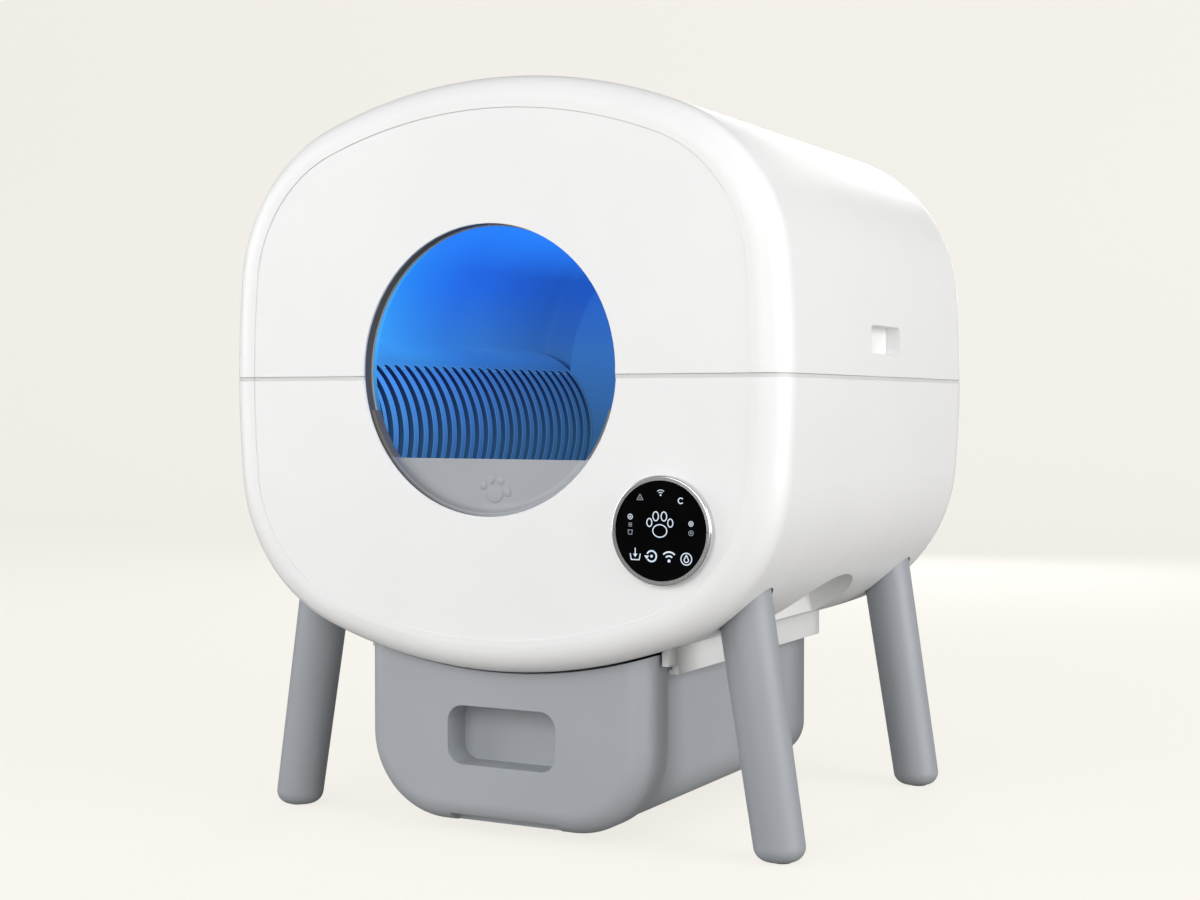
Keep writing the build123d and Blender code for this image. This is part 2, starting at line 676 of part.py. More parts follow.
def lamp_arc(inner, outer, trim):
    """A piece of the lamp's arc between two radii, shortened at both ends by an angle."""
    shape = sector(inner, outer, lamp_start() + trim, LAMP_SWEEP - 2 * trim)
    rear = FRONT_Y + RING_DEPTH
    return slab(Pos(0, DRUM_Z) * shape, rear - LAMP_LENGTH, rear)


def entry_ring():
    """The ring that lines the way in, seated on the lower shell and clear of the cover."""
    ring = tube(OPENING_RADIUS + RING_WALL, OPENING_RADIUS, INNER_FRONT_Y, FRONT_Y + RING_DEPTH)
    over_seam = cuboid(
        (-HALF_WIDTH, INNER_FRONT_Y, SEAM_Z - SEAM_BAND_HEIGHT / 2 - COVER_GAP),
        (HALF_WIDTH, INNER_FRONT_Y + COVER_GAP, BODY_MID_Z + HALF_HEIGHT),
    )
    ring = ring - over_seam - lamp_arc(OPENING_RADIUS - LAMP_FIT, OPENING_RADIUS + LAMP_HEIGHT + LAMP_FIT, 0)
    for plane in ring_screw_planes():
        ring = ring - screw_hole(plane, RING_DEPTH)
    return ring


def ring_screws():
    """The screws that hold the entry ring to the lower shell."""
    length = RING_DEPTH - FACE_RECESS - WALL / 2 - SCREW_FIT
    return Compound([screw(plane, length) for plane in ring_screw_planes()])


def lamp_trim():
    """The angle that gives the lamp its clearance at each end."""
    return math.degrees(LAMP_FIT / OPENING_RADIUS)


def lamp_bar():
    """The lamp's housing, sunk into the top of the entry ring."""
    inner = OPENING_RADIUS + LAMP_INSET + LAMP_LENS_HEIGHT
    return lamp_arc(inner, OPENING_RADIUS + LAMP_HEIGHT, lamp_trim())


def lamp_lens():
    """The lamp's clear strip, which looks down into the drum."""
    inner = OPENING_RADIUS + LAMP_INSET
    return lamp_arc(inner, inner + LAMP_LENS_HEIGHT, lamp_trim())


def litter_guard():
    """The dished sill across the bottom of the way in, whose rim rises past its straight top edge."""
    outer = OPENING_RADIUS - GUARD_FIT
    plate_front = FRONT_Y + GUARD_DEPTH
    plate_rear = plate_front + GUARD_WALL
    dish = rod(outer, FRONT_Y + GUARD_RIM_SETBACK, plate_rear)
    hollow = rod(outer - GUARD_RIM_WALL, FRONT_Y + GUARD_RIM_SETBACK - OVERCUT, plate_front)
    hollow = fillet(hollow.faces().sort_by(Axis.Y)[-1].edges(), GUARD_FILLET)
    rim = tube(outer, outer - GUARD_RIM_WALL, FRONT_Y + GUARD_RIM_SETBACK, plate_rear)
    top = DRUM_Z - OPENING_RADIUS * GUARD_DROP_SHARE
    below = cuboid((-HALF_WIDTH, FRONT_Y, BELLY_HEIGHT), (HALF_WIDTH, DRUM_FRONT_Y, top))
    arms = cuboid((-HALF_WIDTH, FRONT_Y, top), (HALF_WIDTH, DRUM_FRONT_Y, top + GUARD_ARM_RISE))
    return ((dish - hollow) & below) + (rim & arms)


# Display

def bezel_stem_radius():
    """The radius of the bezel's stem, which passes through the front face."""
    return LENS_RADIUS - BEZEL_STEM_WALL / 2


def board_radius():
    """The radius of the display's board, inside the bezel's stem."""
    return bezel_stem_radius() - BEZEL_STEM_WALL - BOARD_FIT


def display_rod(radius, y_front, y_rear):
    """A round bar on the display's axis."""
    return rod(radius, y_front, y_rear, DISPLAY_X, DISPLAY_Z)


def display_bezel():
    """The metal ring round the display, with a stem through the front face."""
    head = display_rod(BEZEL_RADIUS, BEZEL_Y, FACE_Y)
    head = fillet(head.faces().sort_by(Axis.Y)[0].edges(), BEZEL_ROUNDING)
    stem = display_rod(bezel_stem_radius(), FACE_Y, FACE_Y + BEZEL_STEM)
    seat = display_rod(LENS_RADIUS + LENS_FIT, BEZEL_Y - OVERCUT, LENS_Y + LENS_THICKNESS)
    bore = display_rod(bezel_stem_radius() - BEZEL_STEM_WALL, BEZEL_Y, FACE_Y + BEZEL_STEM)
    return head + stem - seat - bore


def display_lens():
    """The black glass disc of the display."""
    return display_rod(LENS_RADIUS, LENS_Y, LENS_Y + LENS_THICKNESS)


def display_board():
    """The board that carries the display's lights and touch keys, behind the glass."""
    rear = LENS_Y + LENS_THICKNESS + BOARD_THICKNESS
    return display_rod(board_radius(), LENS_Y + LENS_THICKNESS, rear)


# Drum and sieve

def drum_shell(radius, rounding, y_front, y_rear):
    """The drum's outside or inside as one solid with rounded ends."""
    block = rod(radius, y_front, y_rear)
    ends = block.edges().filter_by(GeomType.CIRCLE)
    return fillet(ends, rounding)


def rear_boss(grow, y_front, y_rear):
    """The raised middle of the drum's rear wall, a low cone with a rounded rim."""
    start = Plane(origin=(0, y_rear, DRUM_Z), x_dir=(1, 0, 0), z_dir=(0, -1, 0))
    narrow = REAR_BOSS_RADIUS - REAR_BOSS_TAPER + grow
    cone = start * Cone(REAR_BOSS_RADIUS + grow, narrow, y_rear - y_front, align=FROM_BASE)
    return fillet(cone.faces().sort_by(Axis.Y)[0].edges(), REAR_BOSS_ROUNDING + grow)


def drum_inside():
    """The room inside the drum, before its rear wall is raised."""
    rounding = DRUM_ROUNDING - DRUM_WALL
    return drum_shell(DRUM_BORE, rounding, DRUM_FRONT_Y + DRUM_WALL, DRUM_REAR_Y - DRUM_WALL)


def drum_whole():
    """The drum as one hollow shell, before it is split at the ring gear."""
    outside = drum_shell(DRUM_RADIUS, DRUM_ROUNDING, DRUM_FRONT_Y, DRUM_REAR_Y)
    boss_front = DRUM_REAR_Y - DRUM_WALL - REAR_BOSS_HEIGHT
    boss = rear_boss(0, boss_front, DRUM_REAR_Y)
    dish = rear_boss(-DRUM_WALL, boss_front + DRUM_WALL, DRUM_REAR_Y)
    mouth = rod(MOUTH_RADIUS, DRUM_FRONT_Y - OVERCUT, DRUM_FRONT_Y + OVERCUT)
    lip_front = DRUM_FRONT_Y - MOUTH_LIP_REACH
    lip = tube(MOUTH_RADIUS + MOUTH_LIP_WALL, MOUTH_RADIUS, lip_front, DRUM_FRONT_Y + DRUM_WALL)
    return (outside - drum_inside() - mouth) + boss + lip - dish


def port_hole():
    """The waste port in the drum's wall, cut straight out from the axis."""
    shape = RectangleRounded(PORT_WIDTH, PORT_LENGTH, PORT_CORNER)
    lean = math.radians(PORT_ANGLE)
    middle_y = DRUM_FRONT_Y + PORT_SETBACK + PORT_LENGTH / 2
    start = Plane(
        origin=(0, middle_y, DRUM_Z),
        x_dir=(-math.sin(lean), 0, math.cos(lean)),
        z_dir=(math.cos(lean), 0, math.sin(lean)),
    )
    return extrude(start * shape, amount=DRUM_RADIUS + OVERCUT)


def drum_screw_planes():
    """Where the drum screws' heads sit, on the front flange and pointing back."""
    radius = DRUM_RADIUS + FLANGE_REACH / 2
    angles = [math.radians(360.0 * index / DRUM_SCREW_COUNT) for index in range(DRUM_SCREW_COUNT)]
    front = GEAR_Y - FLANGE_WIDTH
    return [Plane(origin=(x, front, z), z_dir=(0, -1, 0)) for x, z in around(0.0, DRUM_Z, radius, angles)]


def drum_screw_holes():
    """The clearance holes of the drum screws, through both flanges and the gear."""
    return [screw_hole(plane, GEAR_WIDTH + 2 * FLANGE_WIDTH) for plane in drum_screw_planes()]


def drum_flange(y_front, y_rear):
    """A flange round the drum that clamps the ring gear."""
    return tube(DRUM_RADIUS + FLANGE_REACH, DRUM_BORE, y_front, y_rear)


def drum_front(drum):
    """The drum's front part, with the cat's mouth, the waste port and a flange."""
    reach = 2 * DRUM_RADIUS
    front = drum & cuboid((-reach, FRONT_Y, 0), (reach, GEAR_Y, 2 * DRUM_Z))
    return front + drum_flange(GEAR_Y - FLANGE_WIDTH, GEAR_Y) - port_hole() - drum_screw_holes()


def drum_rear(drum):
    """The drum's rear part, with the raised rear wall and a flange."""
    reach = 2 * DRUM_RADIUS
    rear = drum & cuboid((-reach, GEAR_Y, 0), (reach, REAR_Y, 2 * DRUM_Z))
    return rear + drum_flange(GEAR_END_Y, GEAR_END_Y + FLANGE_WIDTH) - drum_screw_holes()


def drum_screws():
    """The screws that clamp the ring gear between the drum's two parts."""
    length = GEAR_WIDTH + 2 * FLANGE_WIDTH
    return Compound([screw(plane, length) for plane in drum_screw_planes()])


def slot_cutter(y):
    """One slot of the sieve, with round ends."""
    low = SIEVE_RADIUS - 2 * SIEVE_WALL
    reach = 3 * SIEVE_WALL
    sweep = SLOT_TOP_ANGLE - SLOT_BOTTOM_ANGLE
    band = Pos(SIEVE_X, SIEVE_Z) * sector(low, low + reach, SLOT_BOTTOM_ANGLE, sweep)
    block = slab(band, y - SLOT_WIDTH / 2, y + SLOT_WIDTH / 2)
    straight = block.edges().filter_by(GeomType.LINE)
    across = straight.filter_by(Axis.Y)
    corners = [edge for edge in straight if edge not in across]
    return fillet(corners, SLOT_WIDTH * SLOT_ROUND_SHARE)


def rib_recesses():
    """Shallow steps that set the ribs back from the sieve's plain edges, on both its faces."""
    trim = math.degrees(SLOT_WIDTH / 2 / (SIEVE_RADIUS - 2 * SIEVE_WALL))
    start = SLOT_BOTTOM_ANGLE + trim
    sweep = SLOT_TOP_ANGLE - SLOT_BOTTOM_ANGLE - 2 * trim
    outer = sector(SIEVE_RADIUS - RIB_RECESS, SIEVE_RADIUS + SIEVE_WALL, start, sweep)
    inner = sector(SIEVE_RADIUS - 2 * SIEVE_WALL, SIEVE_RADIUS - SIEVE_WALL + RIB_RECESS, start, sweep)
    return [
        slab(Pos(SIEVE_X, SIEVE_Z) * zone, SIEVE_Y - SIEVE_WALL, SIEVE_END_Y + SIEVE_WALL)
        for zone in (outer, inner)
    ]


def sieve():
    """The arched plate inside the drum, slotted across its length."""
    arch = Pos(SIEVE_X, SIEVE_Z) * (Circle(SIEVE_RADIUS) - Circle(SIEVE_RADIUS - SIEVE_WALL))
    plate = slab(arch, SIEVE_Y, SIEVE_END_Y) & drum_inside()
    first = SIEVE_Y + SLOT_MARGIN
    pitch = (SIEVE_END_Y - SLOT_MARGIN - first) / (SLOT_COUNT - 1)
    slots = [slot_cutter(first + index * pitch) for index in range(SLOT_COUNT)]
    return plate - slots - rib_recesses()


# Gears and motor

def involute(angle):
    """The involute function of a pressure angle in radians."""
    return math.tan(angle) - angle


def gear_outline(teeth, first_tooth, flank_steps):
    """An involute gear with short teeth, the first of them centred at an angle."""
    pitch_radius = GEAR_MODULE * teeth / 2
    pressure = math.radians(PRESSURE_ANGLE)
    base = pitch_radius * math.cos(pressure)
    root = pitch_radius - GEAR_DEDENDUM * GEAR_MODULE
    tip = pitch_radius + GEAR_ADDENDUM * GEAR_MODULE
    half_tooth = (math.pi * GEAR_MODULE - GEAR_BACKLASH) / (4 * pitch_radius)
    flank_start = max(base, root)
    radii = [flank_start + (tip - flank_start) * step / flank_steps for step in range(flank_steps + 1)]
    if root < base:
        radii.insert(0, root)
    flank = []
    for radius in radii:
        turn = math.acos(min(1.0, base / radius))
        flank.append((radius, half_tooth + involute(pressure) - involute(turn)))
    points = []
    for index in range(teeth):
        centre = math.radians(first_tooth + 360.0 * index / teeth)
        rising = [(radius, centre - half) for radius, half in flank]
        falling = [(radius, centre + half) for radius, half in reversed(flank)]
        points += [(r * math.cos(a), r * math.sin(a)) for r, a in rising + falling]
    return make_face(Polyline(points, close=True))


def ring_gear():
    """The toothed ring clamped round the drum, with a gap between teeth facing the pinion."""
    half_pitch = 180.0 / RING_TEETH
    shape = gear_outline(RING_TEETH, PINION_ANGLE + half_pitch, RING_FLANK_STEPS) - Circle(DRUM_RADIUS)
    return slab(Pos(0, DRUM_Z) * shape, GEAR_Y, GEAR_END_Y) - drum_screw_holes()


def drive_pinion():
    """The small gear on the motor's shaft, with a tooth facing the ring gear."""
    shape = gear_outline(PINION_TEETH, PINION_ANGLE + 180.0, PINION_FLANK_STEPS) - Circle(SHAFT_RADIUS)
    return slab(Pos(PINION_X, PINION_Z) * shape, GEAR_Y, GEAR_END_Y)


def pinion_shaft():
    """The shaft that carries the pinion and runs into the motor."""
    return rod(SHAFT_RADIUS, GEAR_Y - SHAFT_NOSE, MOTOR_Y + SHAFT_BITE, PINION_X, PINION_Z)


def motor_screw_planes():
    """Where the motor's screws sit, on the front of its plate."""
    pitch = 360.0 / MOTOR_SCREW_COUNT
    angles = [math.radians(PINION_ANGLE + pitch * index) for index in range(MOTOR_SCREW_COUNT)]
    places = around(PINION_X, PINION_Z, MOTOR_SCREW_RADIUS, angles)
    return [Plane(origin=(x, PLATE_Y, z), z_dir=(0, -1, 0)) for x, z in places]


def drive_motor():
    """The geared motor behind its plate, bored for the pinion's shaft."""
    body = rod(MOTOR_RADIUS, MOTOR_Y, MOTOR_Y + MOTOR_LENGTH, PINION_X, PINION_Z)
    bore = rod(SHAFT_RADIUS + RUNNING_FIT, MOTOR_Y, MOTOR_Y + SHAFT_BITE + RUNNING_FIT, PINION_X, PINION_Z)
    body = body - bore
    for plane in motor_screw_planes():
        body = body - screw_hole(plane, MOTOR_PLATE + SCREW_BITE + SCREW_FIT)
    return body


def motor_bracket():
    """The plate that holds the motor, standing on the body's floor."""
    half = MOTOR_RADIUS + MOTOR_PLATE_MARGIN
    plate = cuboid(
        (PINION_X - half, PLATE_Y, 0),
        (PINION_X + half, MOTOR_Y, PINION_Z + half),
    )
    plate = (plate & BODY_INNER) - rod(MOTOR_PLATE_HOLE, PLATE_Y, MOTOR_Y, PINION_X, PINION_Z)
    for plane in motor_screw_planes():
        plate = plate - screw_hole(plane, MOTOR_PLATE)
    return plate


def motor_screws():
    """The screws that hold the motor to its plate."""
    return Compound([screw(plane, MOTOR_PLATE + SCREW_BITE) for plane in motor_screw_planes()])


# Rollers

def roller(x, y):
    """A roller that the drum turns on."""
    half = ROLLER_WIDTH / 2
    return tube(ROLLER_RADIUS, AXLE_RADIUS + RUNNING_FIT, y - half, y + half, x, ROLLER_Z)


def bracket_half():
    """Half the width of a roller bracket, over its ears."""
    return ROLLER_WIDTH / 2 + ROLLER_PLAY + EAR_WALL


def roller_bracket(x, y):
    """A pedestal on the body's floor with two ears for a roller's axle."""
    half = bracket_half()
    pillar = Pos(x, ROLLER_Z / 2) * Rectangle(2 * EAR_RADIUS, ROLLER_Z)
    ears = slab(pillar + Pos(x, ROLLER_Z) * Circle(EAR_RADIUS), y - half, y + half)
    room = half - EAR_WALL
    gap_low = ROLLER_Z - ROLLER_RADIUS - PEDESTAL_GAP
    gap = cuboid((x - 2 * EAR_RADIUS, y - room, gap_low), (x + 2 * EAR_RADIUS, y + room, DRUM_Z))
    bore = rod(AXLE_RADIUS + SCREW_FIT, y - half, y + half, x, ROLLER_Z)
    return (ears & BODY_INNER) - gap - bore


def roller_axle(x, y):
    """A headed pin through a bracket's ears and its roller."""
    half = bracket_half()
    pin = rod(AXLE_RADIUS, y - half, y + half, x, ROLLER_Z)
    return pin + rod(AXLE_HEAD_RADIUS, y - half - AXLE_HEAD_WIDTH, y - half, x, ROLLER_Z)


# Chute, drawer and rails

def chute_block(wall):
    """The upright block of the chute's inside, made smaller by a wall, from the belly to the drum."""
    half = CHUTE_WIDTH / 2 - wall
    return cuboid(
        (-half, CHUTE_Y + wall, BELLY_HEIGHT - OVERCUT),
        (half, CHUTE_Y + CHUTE_LENGTH - wall, DRUM_Z),
    )


def waste_chute():
    """The open frame that guides waste from the drum's port through the belly."""
    frame = chute_block(0) & BODY_INNER
    return frame - chute_block(CHUTE_WALL) - rod(DRUM_RADIUS + CHUTE_DRUM_GAP, FRONT_Y, REAR_Y)


def belly_clearance():
    """The body's outline with the drawer's gap round it, along the whole depth."""
    return slab(outline(-DRAWER_GAP), FRONT_Y - OVERCUT, REAR_Y + OVERCUT)


def panel_block(inset, y_front, y_rear):
    """The drawer front's upright block, moved inwards by an inset."""
    top = BELLY_HEIGHT + CORNER_RADIUS
    shape = rounded_bottom(PANEL_WIDTH / 2 - inset, DRAWER_LIFT + inset, top, PANEL_CORNER - inset)
    return slab(shape, y_front, y_rear)


def drawer_screw_planes():
    """Where the drawer's screws sit, on the inside of the bin's front wall."""
    low = BIN_BOTTOM_Z + BIN_CORNER / 2
    return [
        Plane(origin=(x, BIN_Y + BIN_WALL, z), z_dir=(0, 1, 0))
        for x in (-DRAWER_SCREW_X, DRAWER_SCREW_X)
        for z in (low, low + DRAWER_SCREW_RISE)
    ]


def handle_block(grow, y_front, depth):
    """The rounded block of the pull in the drawer's front, made larger by a wall."""
    shape = RectangleRounded(HANDLE_WIDTH + 2 * grow, HANDLE_HEIGHT + 2 * grow, HANDLE_CORNER + grow)
    return slab(Pos(0, DRAWER_LIFT + HANDLE_RISE) * shape, y_front, y_front + depth)


def drawer_front():
    """The drawer's hollow front panel, with a pull and a notch under its lower edge."""
    panel = panel_block(0, PANEL_Y, BIN_Y)
    panel = fillet(panel.faces().sort_by(Axis.Y)[0].edges().sort_by(Axis.Z)[:-1], PANEL_EDGE)
    hollow_edge = PANEL_EDGE - PANEL_WALL
    hollow = panel_block(PANEL_WALL, PANEL_Y + PANEL_WALL, BIN_Y)
    hollow = fillet(hollow.faces().sort_by(Axis.Y)[0].edges().sort_by(Axis.Z)[:-1], hollow_edge)
    hollow = hollow - slab(outline(-DRAWER_GAP - PANEL_WALL), FRONT_Y, REAR_Y)
    hollow = hollow - handle_block(PANEL_WALL, PANEL_Y, HANDLE_DEPTH + PANEL_WALL)
    for plane in drawer_screw_planes():
        hollow = hollow - rod(DRAWER_BOSS_RADIUS, PANEL_Y, BIN_Y, plane.origin.X, plane.origin.Z)
    notch = cuboid(
        (-NOTCH_WIDTH / 2, PANEL_Y - OVERCUT, 0),
        (NOTCH_WIDTH / 2, PANEL_Y + PANEL_EDGE, DRAWER_LIFT + NOTCH_HEIGHT),
    )
    lining_half = NOTCH_WIDTH / 2 + PANEL_WALL
    lining = cuboid(
        (-lining_half, PANEL_Y + PANEL_WALL, DRAWER_LIFT),
        (lining_half, PANEL_Y + PANEL_EDGE + PANEL_WALL, DRAWER_LIFT + NOTCH_HEIGHT + PANEL_WALL),
    )
    panel = panel - (hollow - lining) - belly_clearance() - handle_block(0, PANEL_Y, HANDLE_DEPTH) - notch
    for plane in drawer_screw_planes():
        panel = panel - screw_hole(plane, BIN_WALL + SCREW_BITE + SCREW_FIT)
    return panel


def bin_block(inset, y_front, y_rear, top):
    """The bin's trough, moved inwards by an inset."""
    shape = rounded_bottom(BIN_WIDTH / 2 - inset, BIN_BOTTOM_Z + inset, top, BIN_CORNER - inset)
    block = slab(shape, y_front, y_rear)
    rear = block.faces().sort_by(Axis.Y)[-1].edges().sort_by(Axis.Z)[:-1]
    return fillet(rear, BIN_REAR_ROUNDING - inset)


def waste_bin():
    """The bin behind the drawer's front, with a flange along each side that runs on a rail."""
    flange_low = RAIL_LIP_Z + RAIL_RUN_GAP
    flange_high = flange_low + BIN_FLANGE_THICKNESS
    trough = bin_block(0, BIN_Y, BIN_END_Y, flange_high)
    inside = bin_block(BIN_WALL, BIN_Y + BIN_WALL, BIN_END_Y - BIN_WALL, flange_high + OVERCUT)
    half = BIN_WIDTH / 2
    flanges = [
        cuboid(
            (min(side * (half - BIN_WALL), side * (half + BIN_FLANGE_REACH)), BIN_Y + BIN_WALL, flange_low),
            (
                max(side * (half - BIN_WALL), side * (half + BIN_FLANGE_REACH)),
                BIN_END_Y - BIN_REAR_ROUNDING,
                flange_high,
            ),
        )
        for side in SIDES.values()
    ]
    shape = trough - inside + flanges - belly_clearance()
    for plane in drawer_screw_planes():
        shape = shape - screw_hole(plane, BIN_WALL)
    return shape


def drawer_screws():
    """The screws that hold the bin to the drawer's front."""
    return Compound([screw(plane, BIN_WALL + SCREW_BITE) for plane in drawer_screw_planes()])


def drawer_rail(side):
    """A rail under the belly: an upright web with a lip that carries the bin's flange."""
    start = FRONT_Y + RAIL_FRONT_SETBACK
    end = start + RAIL_LENGTH
    lip_low = RAIL_LIP_Z - RAIL_LIP_THICKNESS
    top = BELLY_HEIGHT + CORNER_RADIUS
    web = cuboid((RAIL_WEB_X, start, lip_low + RAIL_STEP_HEIGHT), (RAIL_OUTER_X, end, top))
    low_web = cuboid((RAIL_WEB_X, start + RAIL_LIP_SETBACK, lip_low), (RAIL_OUTER_X, end, top))
    lip_x = RAIL_WEB_X - RAIL_LIP_REACH
    lip = cuboid((lip_x, start + RAIL_LIP_SETBACK, lip_low), (RAIL_OUTER_X, end, RAIL_LIP_Z))
    rail = (web + low_web + lip) - slab(outline(0), FRONT_Y, REAR_Y)
    if side < 0:
        rail = mirror(rail, Plane.YZ)
    for plane in rail_screw_planes():
        rail = rail - screw_hole(plane, RAIL_BOSS_HEIGHT + WALL + SCREW_BITE + SCREW_FIT)
    return rail


def rail_screws():
    """The screws that hold the rails, from inside the body."""
    length = RAIL_BOSS_HEIGHT + WALL + SCREW_BITE
    return Compound([screw(plane, length) for plane in rail_screw_planes()])


# Control board and power inlet

def control_board():
    """The main board on the rear wall's posts, with its larger parts."""
    board = slab(Pos(0, BOARD_Z) * Rectangle(BOARD_WIDTH, BOARD_HEIGHT), BOARD_Y - BOARD_THICKNESS, BOARD_Y)
    for x, z, width, height, depth in BOARD_CHIPS:
        front = BOARD_Y - BOARD_THICKNESS
        board = board + slab(Pos(x, BOARD_Z + z) * Rectangle(width, height), front - depth, front)
    for plane in board_screw_planes():
        board = board - screw_hole(plane, BOARD_THICKNESS)
    return board


def board_screws():
    """The screws that hold the control board."""
    length = BOARD_THICKNESS + SCREW_BITE - SCREW_FIT
    return Compound([screw(plane, length) for plane in board_screw_planes()])


def inlet_block(grow, y_front, y_rear):
    """The square block of the power inlet, made larger by a fit."""
    size = INLET_SIZE + 2 * grow
    return slab(Pos(INLET_X, INLET_Z) * Rectangle(size, size), y_front, y_rear)


def power_inlet():
    """The low-voltage power socket in the rear wall."""
    block = inlet_block(0, REAR_Y - INLET_LENGTH, REAR_Y)
    flange = inlet_block(INLET_FLANGE, INNER_REAR_Y - INLET_FLANGE_WALL, INNER_REAR_Y)
    bore = rod(INLET_BORE, REAR_Y - INLET_BORE_DEPTH, REAR_Y, INLET_X, INLET_Z)
    pin = rod(INLET_PIN, REAR_Y - INLET_BORE_DEPTH, REAR_Y - WALL, INLET_X, INLET_Z)
    return block + flange - bore + pin


def all_pieces():
    """Every piece of the object by name."""
    drum = drum_whole()
    pieces = {
        "lower_shell": lower_shell(),
        "upper_shell": upper_shell(),
        "seam_band": seam_band(),
        "entry_ring": entry_ring(),
        "ring_screws": ring_screws(),
        "litter_guard": litter_guard(),
        "lamp_bar": lamp_bar(),
        "lamp_lens": lamp_lens(),
        "display_bezel": display_bezel(),
        "display_lens": display_lens(),
        "display_board": display_board(),
        "foot_pads": foot_pads(),
        "weight_sensors": weight_sensors(),
        "leg_bolts": leg_bolts(),
        "drum_front": drum_front(drum),
        "drum_rear": drum_rear(drum),
        "drum_screws": drum_screws(),
        "sieve": sieve(),
        "ring_gear": ring_gear(),
        "drive_pinion": drive_pinion(),
        "pinion_shaft": pinion_shaft(),
        "drive_motor": drive_motor(),
        "motor_bracket": motor_bracket(),
        "motor_screws": motor_screws(),
        "waste_chute": waste_chute(),
        "drawer_front": drawer_front(),
        "waste_bin": waste_bin(),
        "drawer_screws": drawer_screws(),
        "rail_screws": rail_screws(),
        "control_board": control_board(),
        "board_screws": board_screws(),
        "power_inlet": power_inlet(),
    }
    for row in LEG_ROWS:
        for name, side in SIDES.items():
            pieces[f"leg_{row}_{name}"] = leg(side, row)
    for row, y in ROLLER_ROWS.items():
        for name, side in SIDES.items():
            x = side * ROLLER_X
            pieces[f"roller_{row}_{name}"] = roller(x, y)
            pieces[f"roller_bracket_{row}_{name}"] = roller_bracket(x, y)
            pieces[f"roller_axle_{row}_{name}"] = roller_axle(x, y)
    for name, side in SIDES.items():
        pieces[f"drawer_rail_{name}"] = drawer_rail(side)
    return pieces


os.makedirs("parts", exist_ok=True)
for piece_name, piece in all_pieces().items():
    export_step(piece, f"parts/{piece_name}.step")
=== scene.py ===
import json
import math

import bmesh
import bpy
from mathutils import Matrix, Vector


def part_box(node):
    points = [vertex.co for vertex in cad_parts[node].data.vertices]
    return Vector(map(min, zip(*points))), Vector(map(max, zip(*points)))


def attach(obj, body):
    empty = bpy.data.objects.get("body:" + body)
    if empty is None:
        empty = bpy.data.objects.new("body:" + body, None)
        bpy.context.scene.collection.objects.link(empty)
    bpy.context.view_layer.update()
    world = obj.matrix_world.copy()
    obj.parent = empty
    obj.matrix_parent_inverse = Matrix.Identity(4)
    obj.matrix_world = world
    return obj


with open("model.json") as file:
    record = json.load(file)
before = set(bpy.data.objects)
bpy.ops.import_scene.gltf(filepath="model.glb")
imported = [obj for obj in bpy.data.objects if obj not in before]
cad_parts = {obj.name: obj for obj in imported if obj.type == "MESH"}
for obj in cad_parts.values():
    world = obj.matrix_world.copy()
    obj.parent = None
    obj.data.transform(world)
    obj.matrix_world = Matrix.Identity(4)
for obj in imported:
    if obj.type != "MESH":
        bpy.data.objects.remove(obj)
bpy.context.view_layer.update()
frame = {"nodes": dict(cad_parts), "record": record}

# Sizes in metres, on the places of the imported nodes

MM = 0.001
GLASS_LOW, GLASS_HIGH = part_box("display_lens")
GLASS_CENTRE = (GLASS_LOW + GLASS_HIGH) / 2
BEZEL_LOW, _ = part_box("display_bezel")
GUARD_LOW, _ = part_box("litter_guard")
RING_LOW, RING_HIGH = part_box("entry_ring")
ENTRY_CENTRE_Z = (RING_LOW.z + RING_HIGH.z) / 2
ENTRY_RADIUS = 125.0 * MM
SILL_TOP = 331.0 * MM
SILL_FACE_SETBACK = 7.0 * MM
SILL_RIM_RADIUS = 113.0 * MM
PAW_RISE = 1.0 * MM
LIP_BEAD = 0.9 * MM
TICK_SIZE = Vector((1.8, 0.3, 0.9)) * MM
TICK_BEVEL = 0.08 * MM
MERGE_DISTANCE = 0.001 * MM
SYMBOL_THICKNESS = 0.12 * MM
STROKE = 0.85 * MM
FINE_STROKE = 0.6 * MM
BOLD_STROKE = 1.3 * MM
ROUND_STEPS = 96
BEAD_STEPS = 12
DOT_STEPS = 28
ARC_STEP = 8
ARC_LEAST_STEPS = 8
SIEVE_AXIS = (-208.06 * MM, 0, 350.08 * MM)
SIEVE_RADIUS = 88.0 * MM
SIEVE_WALL = 6.0 * MM
SLOT_DARK_RADIUS = SIEVE_RADIUS - 0.24 * SIEVE_WALL
RIB_FACE_RADIUS = SIEVE_RADIUS - 0.08 * SIEVE_WALL
DRUM_AXIS = (0, 0, 407.0 * MM)
DRUM_FRONT_Y = -220.0 * MM
DRUM_REAR_Y = 204.0 * MM
DRUM_WALL_REACH = 201.0 * MM
BOSS_RADIUS = 160.0 * MM
BOSS_DEPTH = 0.905
BOSS_DEPTH_BLEND = 0.01
BOSS_HIGHLIGHT_SHARE = 0.16
FACING_BLEND = (-5.0 * MM, 5.0 * MM)

# Heights between which one painted blue of light and shade turns into the next, in metres

WALL_BLEND = (0.435, 0.500)
TOP_BLEND = (0.515, 0.555)
LOW_SHADE_BLEND = (0.350, 0.430)
RIB_FOOT_BLEND = (0.335, 0.395)
SIEVE_TOP_BLEND = (0.404, 0.424)
SIEVE_SHADE_BLEND = (0.404, 0.418)
SLOT_BLEND = (0.340, 0.405)

# Camera and stage

